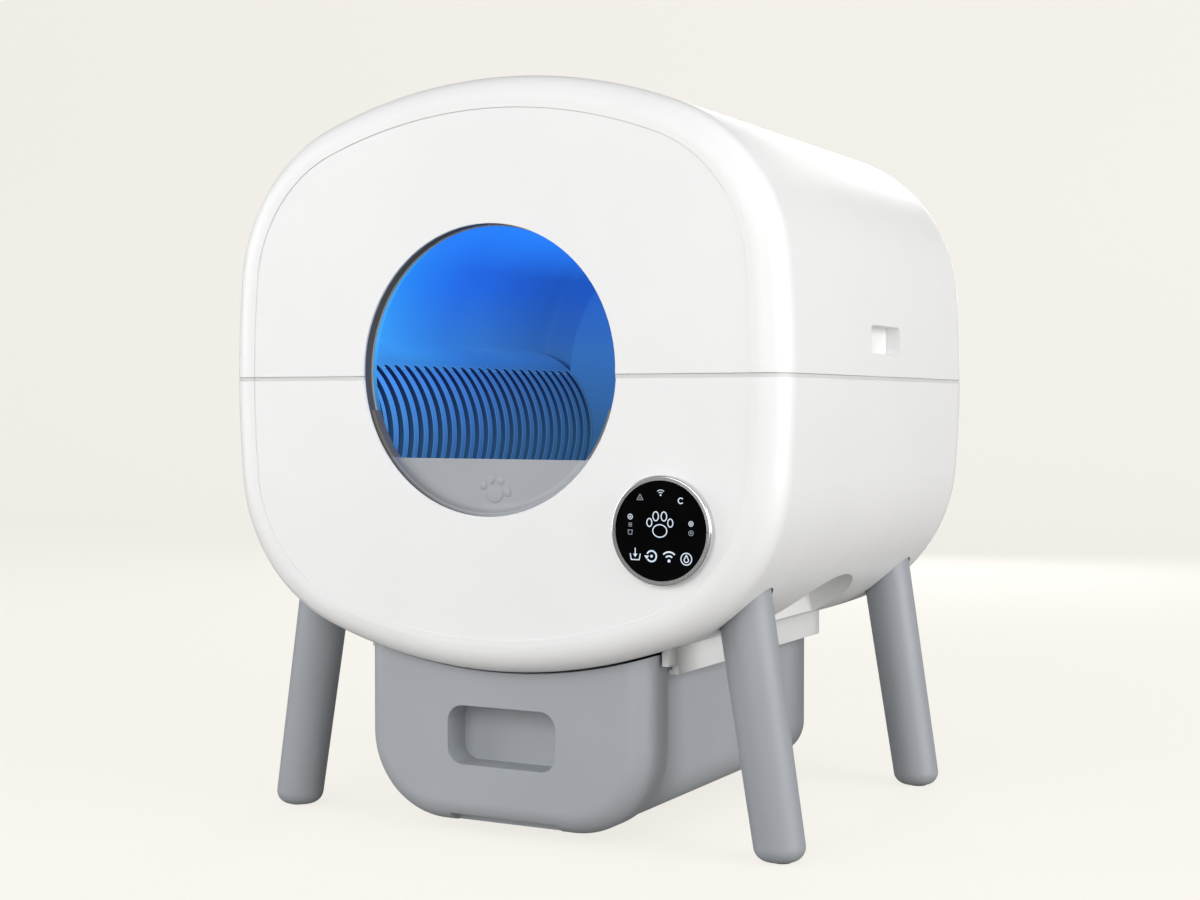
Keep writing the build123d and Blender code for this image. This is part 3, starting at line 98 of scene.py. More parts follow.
CAMERA_PLACE = (0.8254, -1.5976, 0.3750)
CAMERA_YAW = 27.78
CAMERA_PITCH = 1.30
CAMERA_LENS = 55.755
CAMERA_SENSOR = 36.0
FLOOR_REACH = 12.0
SWEEP_START = 3.0
SWEEP_RADIUS = 1.5
SWEEP_STEPS = 16
BACKDROP_HEIGHT = 4.0
OBJECT_MIDDLE = (0, 0, 0.38)
SOFTBOXES = (
    ("front_softbox", (0.2, -3.2, 1.2), 2.6, 53),
    ("side_softbox", (3.1, -0.2, 0.9), 2.2, 74),
    ("left_softbox", (-2.8, -1.7, 0.9), 2.0, 36),
    ("rear_softbox", (-0.6, 2.8, 1.05), 1.2, 24),
)
PAPER_LEVEL = 0.12
PAPER_SEEN_LEVEL = 0.88
SURROUND_LEVEL = 0.48
SURROUND_TOP_LEVEL = 0.27
SURROUND_SEEN_LEVEL = 0.86

# Places of the unnamed sockets of a mix node

COLOUR_A, COLOUR_B, COLOUR_OUT = 6, 7, 2
VALUE_A, VALUE_B = 2, 3

FULL_TURN = 2 * math.pi
SIDEWAYS = Vector((1, 0, 0))
DEPTH = Vector((0, 1, 0))


# Colours

FULL_LEVEL = 255
CURVE_KNEE = 0.04045
CURVE_SLOPE = 12.92
CURVE_OFFSET = 0.055
CURVE_POWER = 2.4


def linear(level):
    """One channel from 0 to 255, as seen, to the value that a shader takes, by the sRGB curve."""
    share = level / FULL_LEVEL
    if share <= CURVE_KNEE:
        return share / CURVE_SLOPE
    return ((share + CURVE_OFFSET) / (1 + CURVE_OFFSET)) ** CURVE_POWER


def tone(red, green, blue):
    """A colour given as it is seen."""
    return (linear(red), linear(green), linear(blue), 1.0)


# Shader groups

def shader_group(name, inputs, outputs):
    """An empty node group with float inputs and the named outputs."""
    group = bpy.data.node_groups.new(name, "ShaderNodeTree")
    for label, value in inputs.items():
        socket = group.interface.new_socket(label, in_out="INPUT", socket_type="NodeSocketFloat")
        socket.default_value = value
    for label, kind in outputs.items():
        group.interface.new_socket(label, in_out="OUTPUT", socket_type=kind)
    entry = group.nodes.new("NodeGroupInput")
    leave = group.nodes.new("NodeGroupOutput")
    return group, entry, leave


def node(tree, kind, **values):
    """A node with its plain properties set."""
    made = tree.nodes.new(kind)
    for name, value in values.items():
        setattr(made, name, value)
    return made


def mixed(tree, factor, first, second):
    """A colour between two, by a factor socket. Either colour may be a socket itself."""
    mix = node(tree, "ShaderNodeMix", data_type="RGBA")
    tree.links.new(factor, mix.inputs["Factor"])
    for value, socket in ((first, mix.inputs[COLOUR_A]), (second, mix.inputs[COLOUR_B])):
        if isinstance(value, tuple):
            socket.default_value = value
        else:
            tree.links.new(value, socket)
    return mix.outputs[COLOUR_OUT]


def ranged(tree, value, low, high, start=0.3, stop=0.7):
    """A value socket spread from one range to another."""
    spread = node(tree, "ShaderNodeMapRange")
    spread.inputs["From Min"].default_value = start
    spread.inputs["From Max"].default_value = stop
    spread.inputs["To Min"].default_value = low
    spread.inputs["To Max"].default_value = high
    tree.links.new(value, spread.inputs["Value"])
    return spread.outputs["Result"]


def product(tree, first, second):
    """Two value sockets multiplied."""
    times = node(tree, "ShaderNodeMath", operation="MULTIPLY")
    tree.links.new(first, times.inputs[0])
    tree.links.new(second, times.inputs[1])
    return times.outputs["Value"]


def ramp(tree, factor, stops):
    """A colour ramp over a value socket, from pairs of position and colour."""
    made = node(tree, "ShaderNodeValToRGB")
    elements = made.color_ramp.elements
    elements[0].position, elements[0].color = stops[0]
    elements[1].position, elements[1].color = stops[-1]
    for position, colour in stops[1:-1]:
        elements.new(position).color = colour
    tree.links.new(factor, made.inputs["Fac"])
    return made.outputs["Color"]


def place_parts(tree):
    """A point's place on its object, as X, Y and Z sockets."""
    place = node(tree, "ShaderNodeTexCoord")
    parts = node(tree, "ShaderNodeSeparateXYZ")
    tree.links.new(place.outputs["Object"], parts.inputs["Vector"])
    return parts.outputs


def moulded_group():
    """Fine spark grain of a mould and a slow drift of tone over a moulded piece."""
    group, entry, leave = shader_group(
        "moulded surface",
        {"Grain per metre": 1500.0, "Drift per metre": 6.0},
        {"Height": "NodeSocketFloat", "Drift": "NodeSocketFloat", "Speck": "NodeSocketFloat"},
    )
    place = node(group, "ShaderNodeTexCoord")
    grain = node(group, "ShaderNodeTexNoise")
    grain.inputs["Detail"].default_value = 3.0
    grain.inputs["Roughness"].default_value = 0.6
    drift = node(group, "ShaderNodeTexNoise")
    drift.inputs["Detail"].default_value = 2.0
    speck = node(group, "ShaderNodeTexVoronoi")
    speck_edge = node(group, "ShaderNodeMapRange")
    speck_edge.inputs["From Min"].default_value = 0.10
    speck_edge.inputs["From Max"].default_value = 0.03
    half = node(group, "ShaderNodeMath", operation="MULTIPLY")
    half.inputs[1].default_value = 0.25
    link = group.links.new
    link(place.outputs["Object"], grain.inputs["Vector"])
    link(place.outputs["Object"], drift.inputs["Vector"])
    link(place.outputs["Object"], speck.inputs["Vector"])
    link(entry.outputs["Grain per metre"], grain.inputs["Scale"])
    link(entry.outputs["Drift per metre"], drift.inputs["Scale"])
    link(entry.outputs["Grain per metre"], half.inputs[0])
    link(half.outputs["Value"], speck.inputs["Scale"])
    link(speck.outputs["Distance"], speck_edge.inputs["Value"])
    link(grain.outputs["Fac"], leave.inputs["Height"])
    link(drift.outputs["Fac"], leave.inputs["Drift"])
    link(speck_edge.outputs["Result"], leave.inputs["Speck"])
    return group


def rounded_edge_group():
    """Softly broken edges: a rounded normal, and a mask that is 1 on the edge itself."""
    group, entry, leave = shader_group(
        "broken edges",
        {"Radius": 0.6 * MM},
        {"Normal": "NodeSocketVector", "Edge": "NodeSocketFloat"},
    )
    bevel = node(group, "ShaderNodeBevel", samples=6)
    surface = node(group, "ShaderNodeNewGeometry")
    dot = node(group, "ShaderNodeVectorMath", operation="DOT_PRODUCT")
    mask = node(group, "ShaderNodeMapRange")
    mask.inputs["From Min"].default_value = 0.995
    mask.inputs["From Max"].default_value = 0.80
    link = group.links.new
    link(entry.outputs["Radius"], bevel.inputs["Radius"])
    link(bevel.outputs["Normal"], dot.inputs[0])
    link(surface.outputs["Normal"], dot.inputs[1])
    link(dot.outputs["Value"], mask.inputs["Value"])
    link(bevel.outputs["Normal"], leave.inputs["Normal"])
    link(mask.outputs["Result"], leave.inputs["Edge"])
    return group


def brushed_group():
    """Streaks of a brushed or turned metal along one axis."""
    group, entry, leave = shader_group(
        "brushed streaks",
        {"Along X": 1.0, "Along Y": 1.0, "Along Z": 1.0},
        {"Streak": "NodeSocketFloat"},
    )
    place = node(group, "ShaderNodeTexCoord")
    stretch = node(group, "ShaderNodeCombineXYZ")
    scaled = node(group, "ShaderNodeVectorMath", operation="MULTIPLY")
    streak = node(group, "ShaderNodeTexNoise")
    streak.inputs["Scale"].default_value = 900.0
    streak.inputs["Detail"].default_value = 4.0
    link = group.links.new
    for axis in "XYZ":
        link(entry.outputs["Along " + axis], stretch.inputs[axis])
    link(place.outputs["Object"], scaled.inputs[0])
    link(stretch.outputs["Vector"], scaled.inputs[1])
    link(scaled.outputs["Vector"], streak.inputs["Vector"])
    link(streak.outputs["Fac"], leave.inputs["Streak"])
    return group


def axis_distance(group, place, axis):
    """A point's offset from a place on an axis that runs front to back, and its distance from that axis."""
    offset = node(group, "ShaderNodeVectorMath", operation="SUBTRACT")
    offset.inputs[1].default_value = axis
    flat = node(group, "ShaderNodeVectorMath", operation="MULTIPLY")
    flat.inputs[1].default_value = (1, 0, 1)
    length = node(group, "ShaderNodeVectorMath", operation="LENGTH")
    link = group.links.new
    link(place.outputs["Object"], offset.inputs[0])
    link(offset.outputs["Vector"], flat.inputs[0])
    link(flat.outputs["Vector"], length.inputs[0])
    return offset.outputs["Vector"], length.outputs["Value"]


def axis_distance_group(name, axis):
    """Distance of a point from an axis that runs front to back."""
    group, _, leave = shader_group(name, {}, {"Distance": "NodeSocketFloat"})
    place = node(group, "ShaderNodeTexCoord")
    _, distance = axis_distance(group, place, axis)
    group.links.new(distance, leave.inputs["Distance"])
    return group


def drum_painted_light_group():
    """Painted light and shade inside the drum, by place: azure near the entry, deep at the rear, bright above
    and dull below, standing in for the light of the drum's lamp.
    """
    group, _, leave = shader_group(
        "drum blue in painted light and shade", {},
        {
            "Wall": "NodeSocketColor", "Rib": "NodeSocketColor",
            "Depth": "NodeSocketFloat", "Height": "NodeSocketFloat",
        },
    )
    parts = place_parts(group)
    depth = ranged(group, parts["Y"], 0.0, 1.0, DRUM_FRONT_Y, DRUM_REAR_Y)
    height = parts["Z"]
    high = ramp(group, depth, HIGH_BLUES)
    low = ramp(group, depth, LOW_BLUES)
    wall = mixed(group, ranged(group, height, 0.0, 1.0, *WALL_BLEND), low, high)
    wall = mixed(group, ranged(group, height, 0.0, 1.0, *TOP_BLEND), wall, PAINTED_LIGHT_BLUE)
    wall = mixed(group, ranged(group, height, 1.0, 0.0, *LOW_SHADE_BLEND), wall, PAINTED_SHADE_BLUE)
    group.links.new(wall, leave.inputs["Wall"])
    group.links.new(ramp(group, depth, RIB_BLUES), leave.inputs["Rib"])
    group.links.new(depth, leave.inputs["Depth"])
    group.links.new(height, leave.inputs["Height"])
    return group


def drum_inside_group():
    """A mask that is 1 on the faces of the drum's wall that look into the drum."""
    group, _, leave = shader_group("inside of the drum", {}, {"Inside": "NodeSocketFloat"})
    place = node(group, "ShaderNodeTexCoord")
    outward, distance = axis_distance(group, place, DRUM_AXIS)
    facing = node(group, "ShaderNodeVectorMath", operation="DOT_PRODUCT")
    group.links.new(outward, facing.inputs[0])
    group.links.new(place.outputs["Normal"], facing.inputs[1])
    inward = ranged(group, facing.outputs["Value"], 1.0, 0.0, *FACING_BLEND)
    inner = ranged(group, distance, 1.0, 0.0, DRUM_WALL_REACH, DRUM_WALL_REACH + MM)
    group.links.new(product(group, inward, inner), leave.inputs["Inside"])
    return group


# Painted light: blues by depth, high and low on the wall and on the ribs, for the light of the drum's lamp
HIGH_BLUES = (
    (0.0, tone(55, 161, 240)),
    (0.26, tone(46, 145, 238)),
    (0.4, tone(43, 126, 234)),
    (0.52, tone(40, 111, 224)),
    (0.75, tone(36, 97, 200)),
    (1.0, tone(34, 89, 177)),
)
LOW_BLUES = (
    (0.0, tone(73, 172, 238)),
    (0.26, tone(67, 164, 232)),
    (0.4, tone(58, 142, 216)),
    (0.52, tone(56, 128, 201)),
    (0.75, tone(55, 116, 182)),
    (1.0, tone(52, 101, 161)),
)
RIB_BLUES = (
    (0.0, tone(78, 151, 228)),
    (0.3, tone(69, 126, 196)),
    (0.55, tone(60, 106, 158)),
    (1.0, tone(48, 85, 120)),
)
# Painted light at the drum's top, painted shade low down, and a painted highlight on the boss and edges
PAINTED_LIGHT_BLUE = tone(45, 136, 246)
PAINTED_SHADE_BLUE = tone(46, 81, 117)
BOSS_HIGHLIGHT_BLUE = tone(69, 136, 200)
OUTER_BLUE = tone(58, 128, 214)
HALF_GREY = (0.5, 0.5, 0.5, 1.0)
# Strength of the painted glow that stands in for the light of the drum's lamp
DRUM_GLOW = 0.85

MOULDED = moulded_group()
SIEVE_DISTANCE = axis_distance_group("distance from the arch", SIEVE_AXIS)
DRUM_DISTANCE = axis_distance_group("distance from the drum axis", DRUM_AXIS)
DRUM_PAINTED_LIGHT = drum_painted_light_group()
DRUM_INSIDE = drum_inside_group()
BROKEN_EDGE = rounded_edge_group()
BRUSHED = brushed_group()


# Material helpers

def material(name):
    """A new node material with its tree and its Principled shader."""
    made = bpy.data.materials.new(name)
    made.use_nodes = True
    tree = made.node_tree
    shader = next(each for each in tree.nodes if each.type == "BSDF_PRINCIPLED")
    return made, tree, shader


def grouped(tree, group, **values):
    """A shader group placed in a material, with its own input values."""
    placed = node(tree, "ShaderNodeGroup", node_tree=group)
    for label, value in values.items():
        placed.inputs[label.replace("_", " ")].default_value = value
    return placed


def bumped(tree, shader, height, strength, distance, normal=None):
    """Sends a height through a bump to the shader's normal."""
    bump = node(tree, "ShaderNodeBump")
    bump.inputs["Strength"].default_value = strength
    bump.inputs["Distance"].default_value = distance
    tree.links.new(height, bump.inputs["Height"])
    if normal is not None:
        tree.links.new(normal, bump.inputs["Normal"])
    tree.links.new(bump.outputs["Normal"], shader.inputs["Normal"])


def moulded_plastic(name, body, shade, edge, rough, grain=1500.0, depth=0.03, edge_radius=0.6 * MM):
    """Injection-moulded plastic: spark grain, drifting tone, specks and softly broken edges, painted paler,
    partly as wear and partly as a painted highlight.
    """
    made, tree, shader = material(name)
    surface = grouped(tree, MOULDED, Grain_per_metre=grain)
    edges = grouped(tree, BROKEN_EDGE, Radius=edge_radius)
    colour = mixed(tree, ranged(tree, surface.outputs["Drift"], 0.0, 1.0), body, shade)
    colour = mixed(tree, ranged(tree, surface.outputs["Speck"], 0.0, 0.25, 0.0, 1.0), colour, shade)
    # Paler edges: partly wear, partly a painted highlight
    colour = mixed(tree, ranged(tree, edges.outputs["Edge"], 0.0, 0.6, 0.0, 1.0), colour, edge)
    tree.links.new(colour, shader.inputs["Base Color"])
    tree.links.new(
        ranged(tree, surface.outputs["Drift"], rough - 0.04, rough + 0.04), shader.inputs["Roughness"]
    )
    bumped(tree, shader, surface.outputs["Height"], depth, 0.2 * MM, edges.outputs["Normal"])
    return made


def worked_metal(name, body, shade, rough, along, metallic=1.0, edge_radius=0.4 * MM):
    """Bare or plated metal with streaks along its working direction."""
    made, tree, shader = material(name)
    shader.inputs["Metallic"].default_value = metallic
    streaks = grouped(tree, BRUSHED, Along_X=along[0], Along_Y=along[1], Along_Z=along[2])
    edges = grouped(tree, BROKEN_EDGE, Radius=edge_radius)
    colour = mixed(tree, ranged(tree, streaks.outputs["Streak"], 0.0, 1.0), body, shade)
    tree.links.new(colour, shader.inputs["Base Color"])
    tree.links.new(
        ranged(tree, streaks.outputs["Streak"], rough - 0.06, rough + 0.08), shader.inputs["Roughness"]
    )
    bumped(tree, shader, streaks.outputs["Streak"], 0.05, 0.1 * MM, edges.outputs["Normal"])
    return made


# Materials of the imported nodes

def white_shell():
    """Glossy white plastic of the body."""
    return moulded_plastic(
        "white shell", tone(246, 246, 246), tone(242, 242, 242), tone(250, 250, 250),
        rough=0.34, grain=1900.0, depth=0.02, edge_radius=1.0 * MM,
    )


def seam_band_plastic():
    """Pale plastic of the band in the seam."""
    return moulded_plastic(
        "pale seam band", tone(222, 222, 221), tone(212, 212, 211), tone(240, 240, 240), rough=0.45
    )


def ring_grey_in_painted_shade():
    """Grey plastic of the ring that lines the entry, painted dark as the shade inside the entry."""
    return moulded_plastic(
        "entry ring grey in painted shade", tone(106, 101, 88), tone(98, 94, 82), tone(136, 131, 118),
        rough=0.42, grain=1300.0, depth=0.05,
    )


def grey_plastic(name, body, shade, edge):
    """Grey plastic of the drawer and the legs."""
    return moulded_plastic(
        name, body, shade, edge, rough=0.46, grain=1300.0, depth=0.05, edge_radius=0.9 * MM
    )


def guard_plastic():
    """Grey plastic of the sill, with painted shade towards its left rim, a painted highlight on its edges and
    painted shade on the arms beside the entry.
    """
    made, tree, shader = material("sill grey plastic")
    surface = grouped(tree, MOULDED, Grain_per_metre=1300.0)
    edges = grouped(tree, BROKEN_EDGE, Radius=0.9 * MM)
    axis = grouped(tree, DRUM_DISTANCE).outputs["Distance"]
    parts = place_parts(tree)
    drift = ranged(tree, surface.outputs["Drift"], 0.0, 1.0)
    colour = mixed(tree, drift, tone(172, 175, 180), tone(166, 169, 174))
    # Painted shade along the sill's left rim
    near_rim = ranged(tree, axis, 0.0, 0.85, SILL_RIM_RADIUS, ENTRY_RADIUS)
    at_left = ranged(tree, parts["X"], 1.0, 0.0, -75 * MM, 10 * MM)
    colour = mixed(tree, product(tree, near_rim, at_left), colour, tone(104, 106, 108))
    # Painted highlight along the sill's edges
    painted_edge_highlight = ranged(tree, edges.outputs["Edge"], 0.0, 0.6, 0.0, 1.0)
    colour = mixed(tree, painted_edge_highlight, colour, tone(212, 213, 214))
    # Painted shade on the arms beside the entry, in the ring's darkened grey
    arm = ranged(tree, parts["Z"], 0.0, 1.0, SILL_TOP, SILL_TOP + 2 * MM)
    colour = mixed(tree, arm, colour, tone(116, 111, 100))
    tree.links.new(colour, shader.inputs["Base Color"])
    tree.links.new(ranged(tree, surface.outputs["Drift"], 0.44, 0.52), shader.inputs["Roughness"])
    bumped(tree, shader, surface.outputs["Height"], 0.05, 0.2 * MM, edges.outputs["Normal"])
    return made


def rail_plastic():
    """White plastic of the drawer's rails."""
    return moulded_plastic(
        "white rail", tone(228, 228, 228), tone(221, 221, 221), tone(240, 240, 240), rough=0.4
    )


def blue_plastic(name, colour_of, two_faced):
    """Blue drum plastic with painted light: it glows, standing in for the light of the drum's lamp, and its
    base colour is halved so the glow outweighs real shading. A two-faced one is plain on its outside.
    """
    made, tree, shader = material(name)
    surface = grouped(tree, MOULDED, Grain_per_metre=900.0, Drift_per_metre=9.0)
    edges = grouped(tree, BROKEN_EDGE, Radius=0.9 * MM)
    colour = colour_of(tree, grouped(tree, DRUM_PAINTED_LIGHT), edges.outputs["Edge"])
    colour = mixed(tree, ranged(tree, surface.outputs["Drift"], 0.0, 0.08), colour, tone(24, 70, 170))
    glow_dimmed_base = node(tree, "ShaderNodeMix", data_type="RGBA", blend_type="MULTIPLY")
    glow_dimmed_base.inputs["Factor"].default_value = 1.0
    glow_dimmed_base.inputs[COLOUR_B].default_value = HALF_GREY
    # Painted light: the glow of the drum's inside, and a halved base colour that softens real shading
    shader.inputs["Emission Strength"].default_value = DRUM_GLOW
    if two_faced:
        inside = grouped(tree, DRUM_INSIDE).outputs["Inside"]
        colour = mixed(tree, inside, OUTER_BLUE, colour)
        tree.links.new(inside, glow_dimmed_base.inputs["Factor"])
        tree.links.new(ranged(tree, inside, 0.0, DRUM_GLOW, 0.0, 1.0), shader.inputs["Emission Strength"])
    tree.links.new(colour, glow_dimmed_base.inputs[COLOUR_A])
    tree.links.new(glow_dimmed_base.outputs[COLOUR_OUT], shader.inputs["Base Color"])
    tree.links.new(colour, shader.inputs["Emission Color"])
    tree.links.new(ranged(tree, surface.outputs["Drift"], 0.40, 0.50), shader.inputs["Roughness"])
    shader.inputs["Specular IOR Level"].default_value = 0.25
    bumped(tree, shader, surface.outputs["Height"], 0.05, 0.2 * MM, edges.outputs["Normal"])
    return made


def drum_colour(tree, blue, edge):
    """The drum's blue, with a painted highlight on the raised middle of its rear wall and on its edges, and
    painted shade behind the sieve.
    """
    arch = grouped(tree, SIEVE_DISTANCE).outputs["Distance"]
    axis = grouped(tree, DRUM_DISTANCE).outputs["Distance"]
    # Painted highlight: a paler blue on the boss of the rear wall
    in_round = ranged(tree, axis, BOSS_HIGHLIGHT_SHARE, 0.0, BOSS_RADIUS - 2 * MM, BOSS_RADIUS + MM)
    at_rear = ranged(tree, blue.outputs["Depth"], 0.0, 1.0, BOSS_DEPTH, BOSS_DEPTH + BOSS_DEPTH_BLEND)
    wall = mixed(tree, product(tree, in_round, at_rear), blue.outputs["Wall"], BOSS_HIGHLIGHT_BLUE)
    # Painted highlight on the drum's edges
    wall = mixed(tree, ranged(tree, edge, 0.0, 0.2, 0.0, 1.0), wall, BOSS_HIGHLIGHT_BLUE)
    # Painted shade: the wall behind the sieve, seen through its slots
    behind = ranged(tree, arch, 1.0, 0.0, SIEVE_RADIUS - SIEVE_WALL, SIEVE_RADIUS)
    return mixed(tree, behind, wall, tone(10, 26, 84))


def sieve_colour(tree, blue, edge):
    """The sieve's blue in painted light and shade: as the wall at its top, painted shade at the ribs' feet
    and below the top, a painted highlight on the ribs' edges, and painted shade in its slots.
    """
    arch = grouped(tree, SIEVE_DISTANCE).outputs["Distance"]
    height = blue.outputs["Height"]
    # Painted light across the ribs by depth, painted shade at their feet and below the top
    ribs = mixed(tree, ranged(tree, height, 0.6, 0.0, *RIB_FOOT_BLEND), blue.outputs["Rib"], PAINTED_SHADE_BLUE)
    ribs = mixed(tree, ranged(tree, height, 0.0, 1.0, *SIEVE_TOP_BLEND), ribs, blue.outputs["Wall"])
    ribs = mixed(tree, ranged(tree, height, 0.0, 0.25, *SIEVE_SHADE_BLEND), ribs, PAINTED_SHADE_BLUE)
    # Painted highlight on the ribs' edges
    ribs = mixed(tree, ranged(tree, edge, 0.0, 0.45, 0.0, 1.0), ribs, tone(120, 190, 236))
    # Painted shade in the slots, less deep low down
    slots = mixed(tree, ranged(tree, height, 1.0, 0.0, *SLOT_BLEND), tone(12, 28, 66), tone(38, 70, 100))
    front = ranged(tree, arch, 0.0, 1.0, SLOT_DARK_RADIUS, RIB_FACE_RADIUS)
    return mixed(tree, front, slots, ribs)


def gear_plastic():
    """Cream acetal of the gears."""
    return moulded_plastic(
        "cream gear acetal", tone(232, 228, 214), tone(214, 207, 186), tone(244, 241, 232),
        rough=0.33, grain=700.0, depth=0.03,
    )


def diffuser():
    """Smoky lamp diffuser, unlit."""
    return moulded_plastic(
        "smoky diffuser", tone(118, 120, 118), tone(106, 108, 106), tone(150, 152, 150),
        rough=0.3, grain=1200.0, depth=0.03,
    )


def display_glass():
    """Black glass with faint smears in its gloss."""
    made, tree, shader = material("black display glass")
    surface = grouped(tree, MOULDED, Grain_per_metre=400.0, Drift_per_metre=45.0)
    colour = mixed(tree, surface.outputs["Drift"], tone(3, 3, 4), tone(7, 7, 9))
    tree.links.new(colour, shader.inputs["Base Color"])
    tree.links.new(ranged(tree, surface.outputs["Drift"], 0.05, 0.14), shader.inputs["Roughness"])
    shader.inputs["Specular IOR Level"].default_value = 0.06
    bumped(tree, shader, surface.outputs["Drift"], 0.02, 0.2 * MM)
    return made


def circuit_board():
    """Green solder mask with paler copper runs and round pads."""
    made, tree, shader = material("circuit board")
    surface = grouped(tree, MOULDED, Grain_per_metre=1000.0)
    place = node(tree, "ShaderNodeTexCoord")
    runs = node(tree, "ShaderNodeTexBrick", offset=0.37, squash=1.6)
    runs.inputs["Scale"].default_value = 130.0
    runs.inputs["Mortar Size"].default_value = 0.03
    runs.inputs["Color1"].default_value = tone(16, 72, 44)
    runs.inputs["Color2"].default_value = tone(20, 84, 52)
    runs.inputs["Mortar"].default_value = tone(70, 132, 84)
    turn = node(tree, "ShaderNodeMapping")
    turn.inputs["Rotation"].default_value = (math.radians(90), 0, 0)
    pads = node(tree, "ShaderNodeTexVoronoi")
    pads.inputs["Scale"].default_value = 110.0
    pad_mask = ranged(tree, pads.outputs["Distance"], 1.0, 0.0, 0.14, 0.2)
    tree.links.new(place.outputs["Object"], turn.inputs["Vector"])
    tree.links.new(turn.outputs["Vector"], runs.inputs["Vector"])
    tree.links.new(place.outputs["Object"], pads.inputs["Vector"])
    colour = mixed(tree, pad_mask, runs.outputs["Color"], tone(205, 180, 110))
    tree.links.new(colour, shader.inputs["Base Color"])
    tree.links.new(pad_mask, shader.inputs["Metallic"])
    tree.links.new(ranged(tree, surface.outputs["Drift"], 0.3, 0.4), shader.inputs["Roughness"])
    bumped(tree, shader, runs.outputs["Fac"], 0.2, 0.1 * MM)
    return made


def rubber():
    """Dark matt rubber of the pads under the legs."""
    return moulded_plastic(
        "dark foot rubber", tone(58, 59, 60), tone(44, 45, 46), tone(84, 85, 86),
        rough=0.72, grain=900.0, depth=0.12,
    )


def housing_plastic():
    """Black plastic of the housings inside."""
    return moulded_plastic(
        "black housing", tone(44, 46, 49), tone(34, 36, 39), tone(82, 84, 88), rough=0.5, depth=0.06
    )


def inlet_plastic():
    """Black plastic of the power inlet."""
    return moulded_plastic(
        "black inlet", tone(30, 31, 33), tone(22, 23, 25), tone(70, 71, 74), rough=0.45, depth=0.05
    )


def roller_nylon():
    """Grey nylon of the rollers."""
    return moulded_plastic(
        "grey roller nylon", tone(120, 123, 126), tone(104, 107, 110), tone(160, 163, 166),
        rough=0.5, depth=0.05,
    )


def polished_bezel():
    """Polished bright metal, a little uneven in its tone and gloss."""
    made, tree, shader = material("polished bezel")
    shader.inputs["Metallic"].default_value = 1.0
    surface = grouped(tree, MOULDED, Grain_per_metre=600.0, Drift_per_metre=30.0)
    drift = ranged(tree, surface.outputs["Drift"], 0.0, 1.0)
    colour = mixed(tree, drift, tone(222, 224, 225), tone(212, 214, 215))
    tree.links.new(colour, shader.inputs["Base Color"])
    tree.links.new(ranged(tree, surface.outputs["Drift"], 0.14, 0.18), shader.inputs["Roughness"])
    return made


def screw_steel():
    """Plated steel of the screws, turned about their length."""
    return worked_metal(
        "screw steel", tone(196, 198, 200), tone(158, 160, 163), rough=0.3, along=(3.0, 0.4, 3.0)
    )


def zinc_bracket():
    """Zinc-plated sheet of the brackets."""
    return worked_metal(
        "zinc bracket", tone(190, 194, 200), tone(166, 170, 178), rough=0.36, along=(0.3, 1.0, 0.3)
    )


def motor_can():
    """Drawn steel of the motor's can."""
    return worked_metal(
        "motor can", tone(170, 172, 175), tone(140, 142, 146), rough=0.32, along=(2.0, 0.15, 2.0)
    )


def light_symbol(name, strength):
    """Cool white light of the display's symbols, a little uneven over each."""
    made, tree, shader = material(name)
    surface = grouped(tree, MOULDED, Grain_per_metre=800.0, Drift_per_metre=80.0)
    glow = mixed(tree, surface.outputs["Drift"], tone(206, 228, 250), tone(236, 246, 255))
    shader.inputs["Base Color"].default_value = tone(20, 22, 26)
    tree.links.new(glow, shader.inputs["Emission Color"])
    shader.inputs["Emission Strength"].default_value = strength
    tree.links.new(ranged(tree, surface.outputs["Drift"], 0.3, 0.5), shader.inputs["Roughness"])
    return made


FINISHES = {
    "shell": white_shell(),
    "seam": seam_band_plastic(),
    "ring": ring_grey_in_painted_shade(),
    "grey": grey_plastic("drawer grey", tone(170, 174, 179), tone(164, 168, 173), tone(184, 188, 193)),
    "drum": blue_plastic("drum blue", drum_colour, two_faced=True),
    "sieve": blue_plastic("sieve blue", sieve_colour, two_faced=False),
    "gear": gear_plastic(),
    "housing": housing_plastic(),
    "bracket": zinc_bracket(),
    "roller": roller_nylon(),
    "rubber": rubber(),
    "lamp": diffuser(),
    "bezel": polished_bezel(),
    "glass": display_glass(),
    "board": circuit_board(),
    "steel": screw_steel(),
    "motor": motor_can(),
    "inlet": inlet_plastic(),
    "rail": rail_plastic(),
}
# The legs' copy of the drawer grey, painted darker as shade
LEG_GREY_PAINTED_SHADE = grey_plastic("leg grey in painted shade", tone(161, 165, 170), tone(155, 159, 164), tone(174, 178, 183))
OWN_FINISHES = {
    "litter_guard": guard_plastic(),
    "leg_front_left": LEG_GREY_PAINTED_SHADE,
    "leg_front_right": LEG_GREY_PAINTED_SHADE,
    "leg_rear_left": LEG_GREY_PAINTED_SHADE,
    "leg_rear_right": LEG_GREY_PAINTED_SHADE,
}
LIGHT_SYMBOL = light_symbol("display light", 0.95)
FAINT_SYMBOL = light_symbol("faint display light", 0.32)


def dress_nodes():
    """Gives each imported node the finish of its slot."""
    for row in frame["record"]["subparts"]:
        packed = frame["nodes"][row["node"]]
        packed.data.materials.clear()
        packed.data.materials.append(OWN_FINISHES.get(row["node"], FINISHES[row["material_slot"]]))


dress_nodes()


# Piece helpers

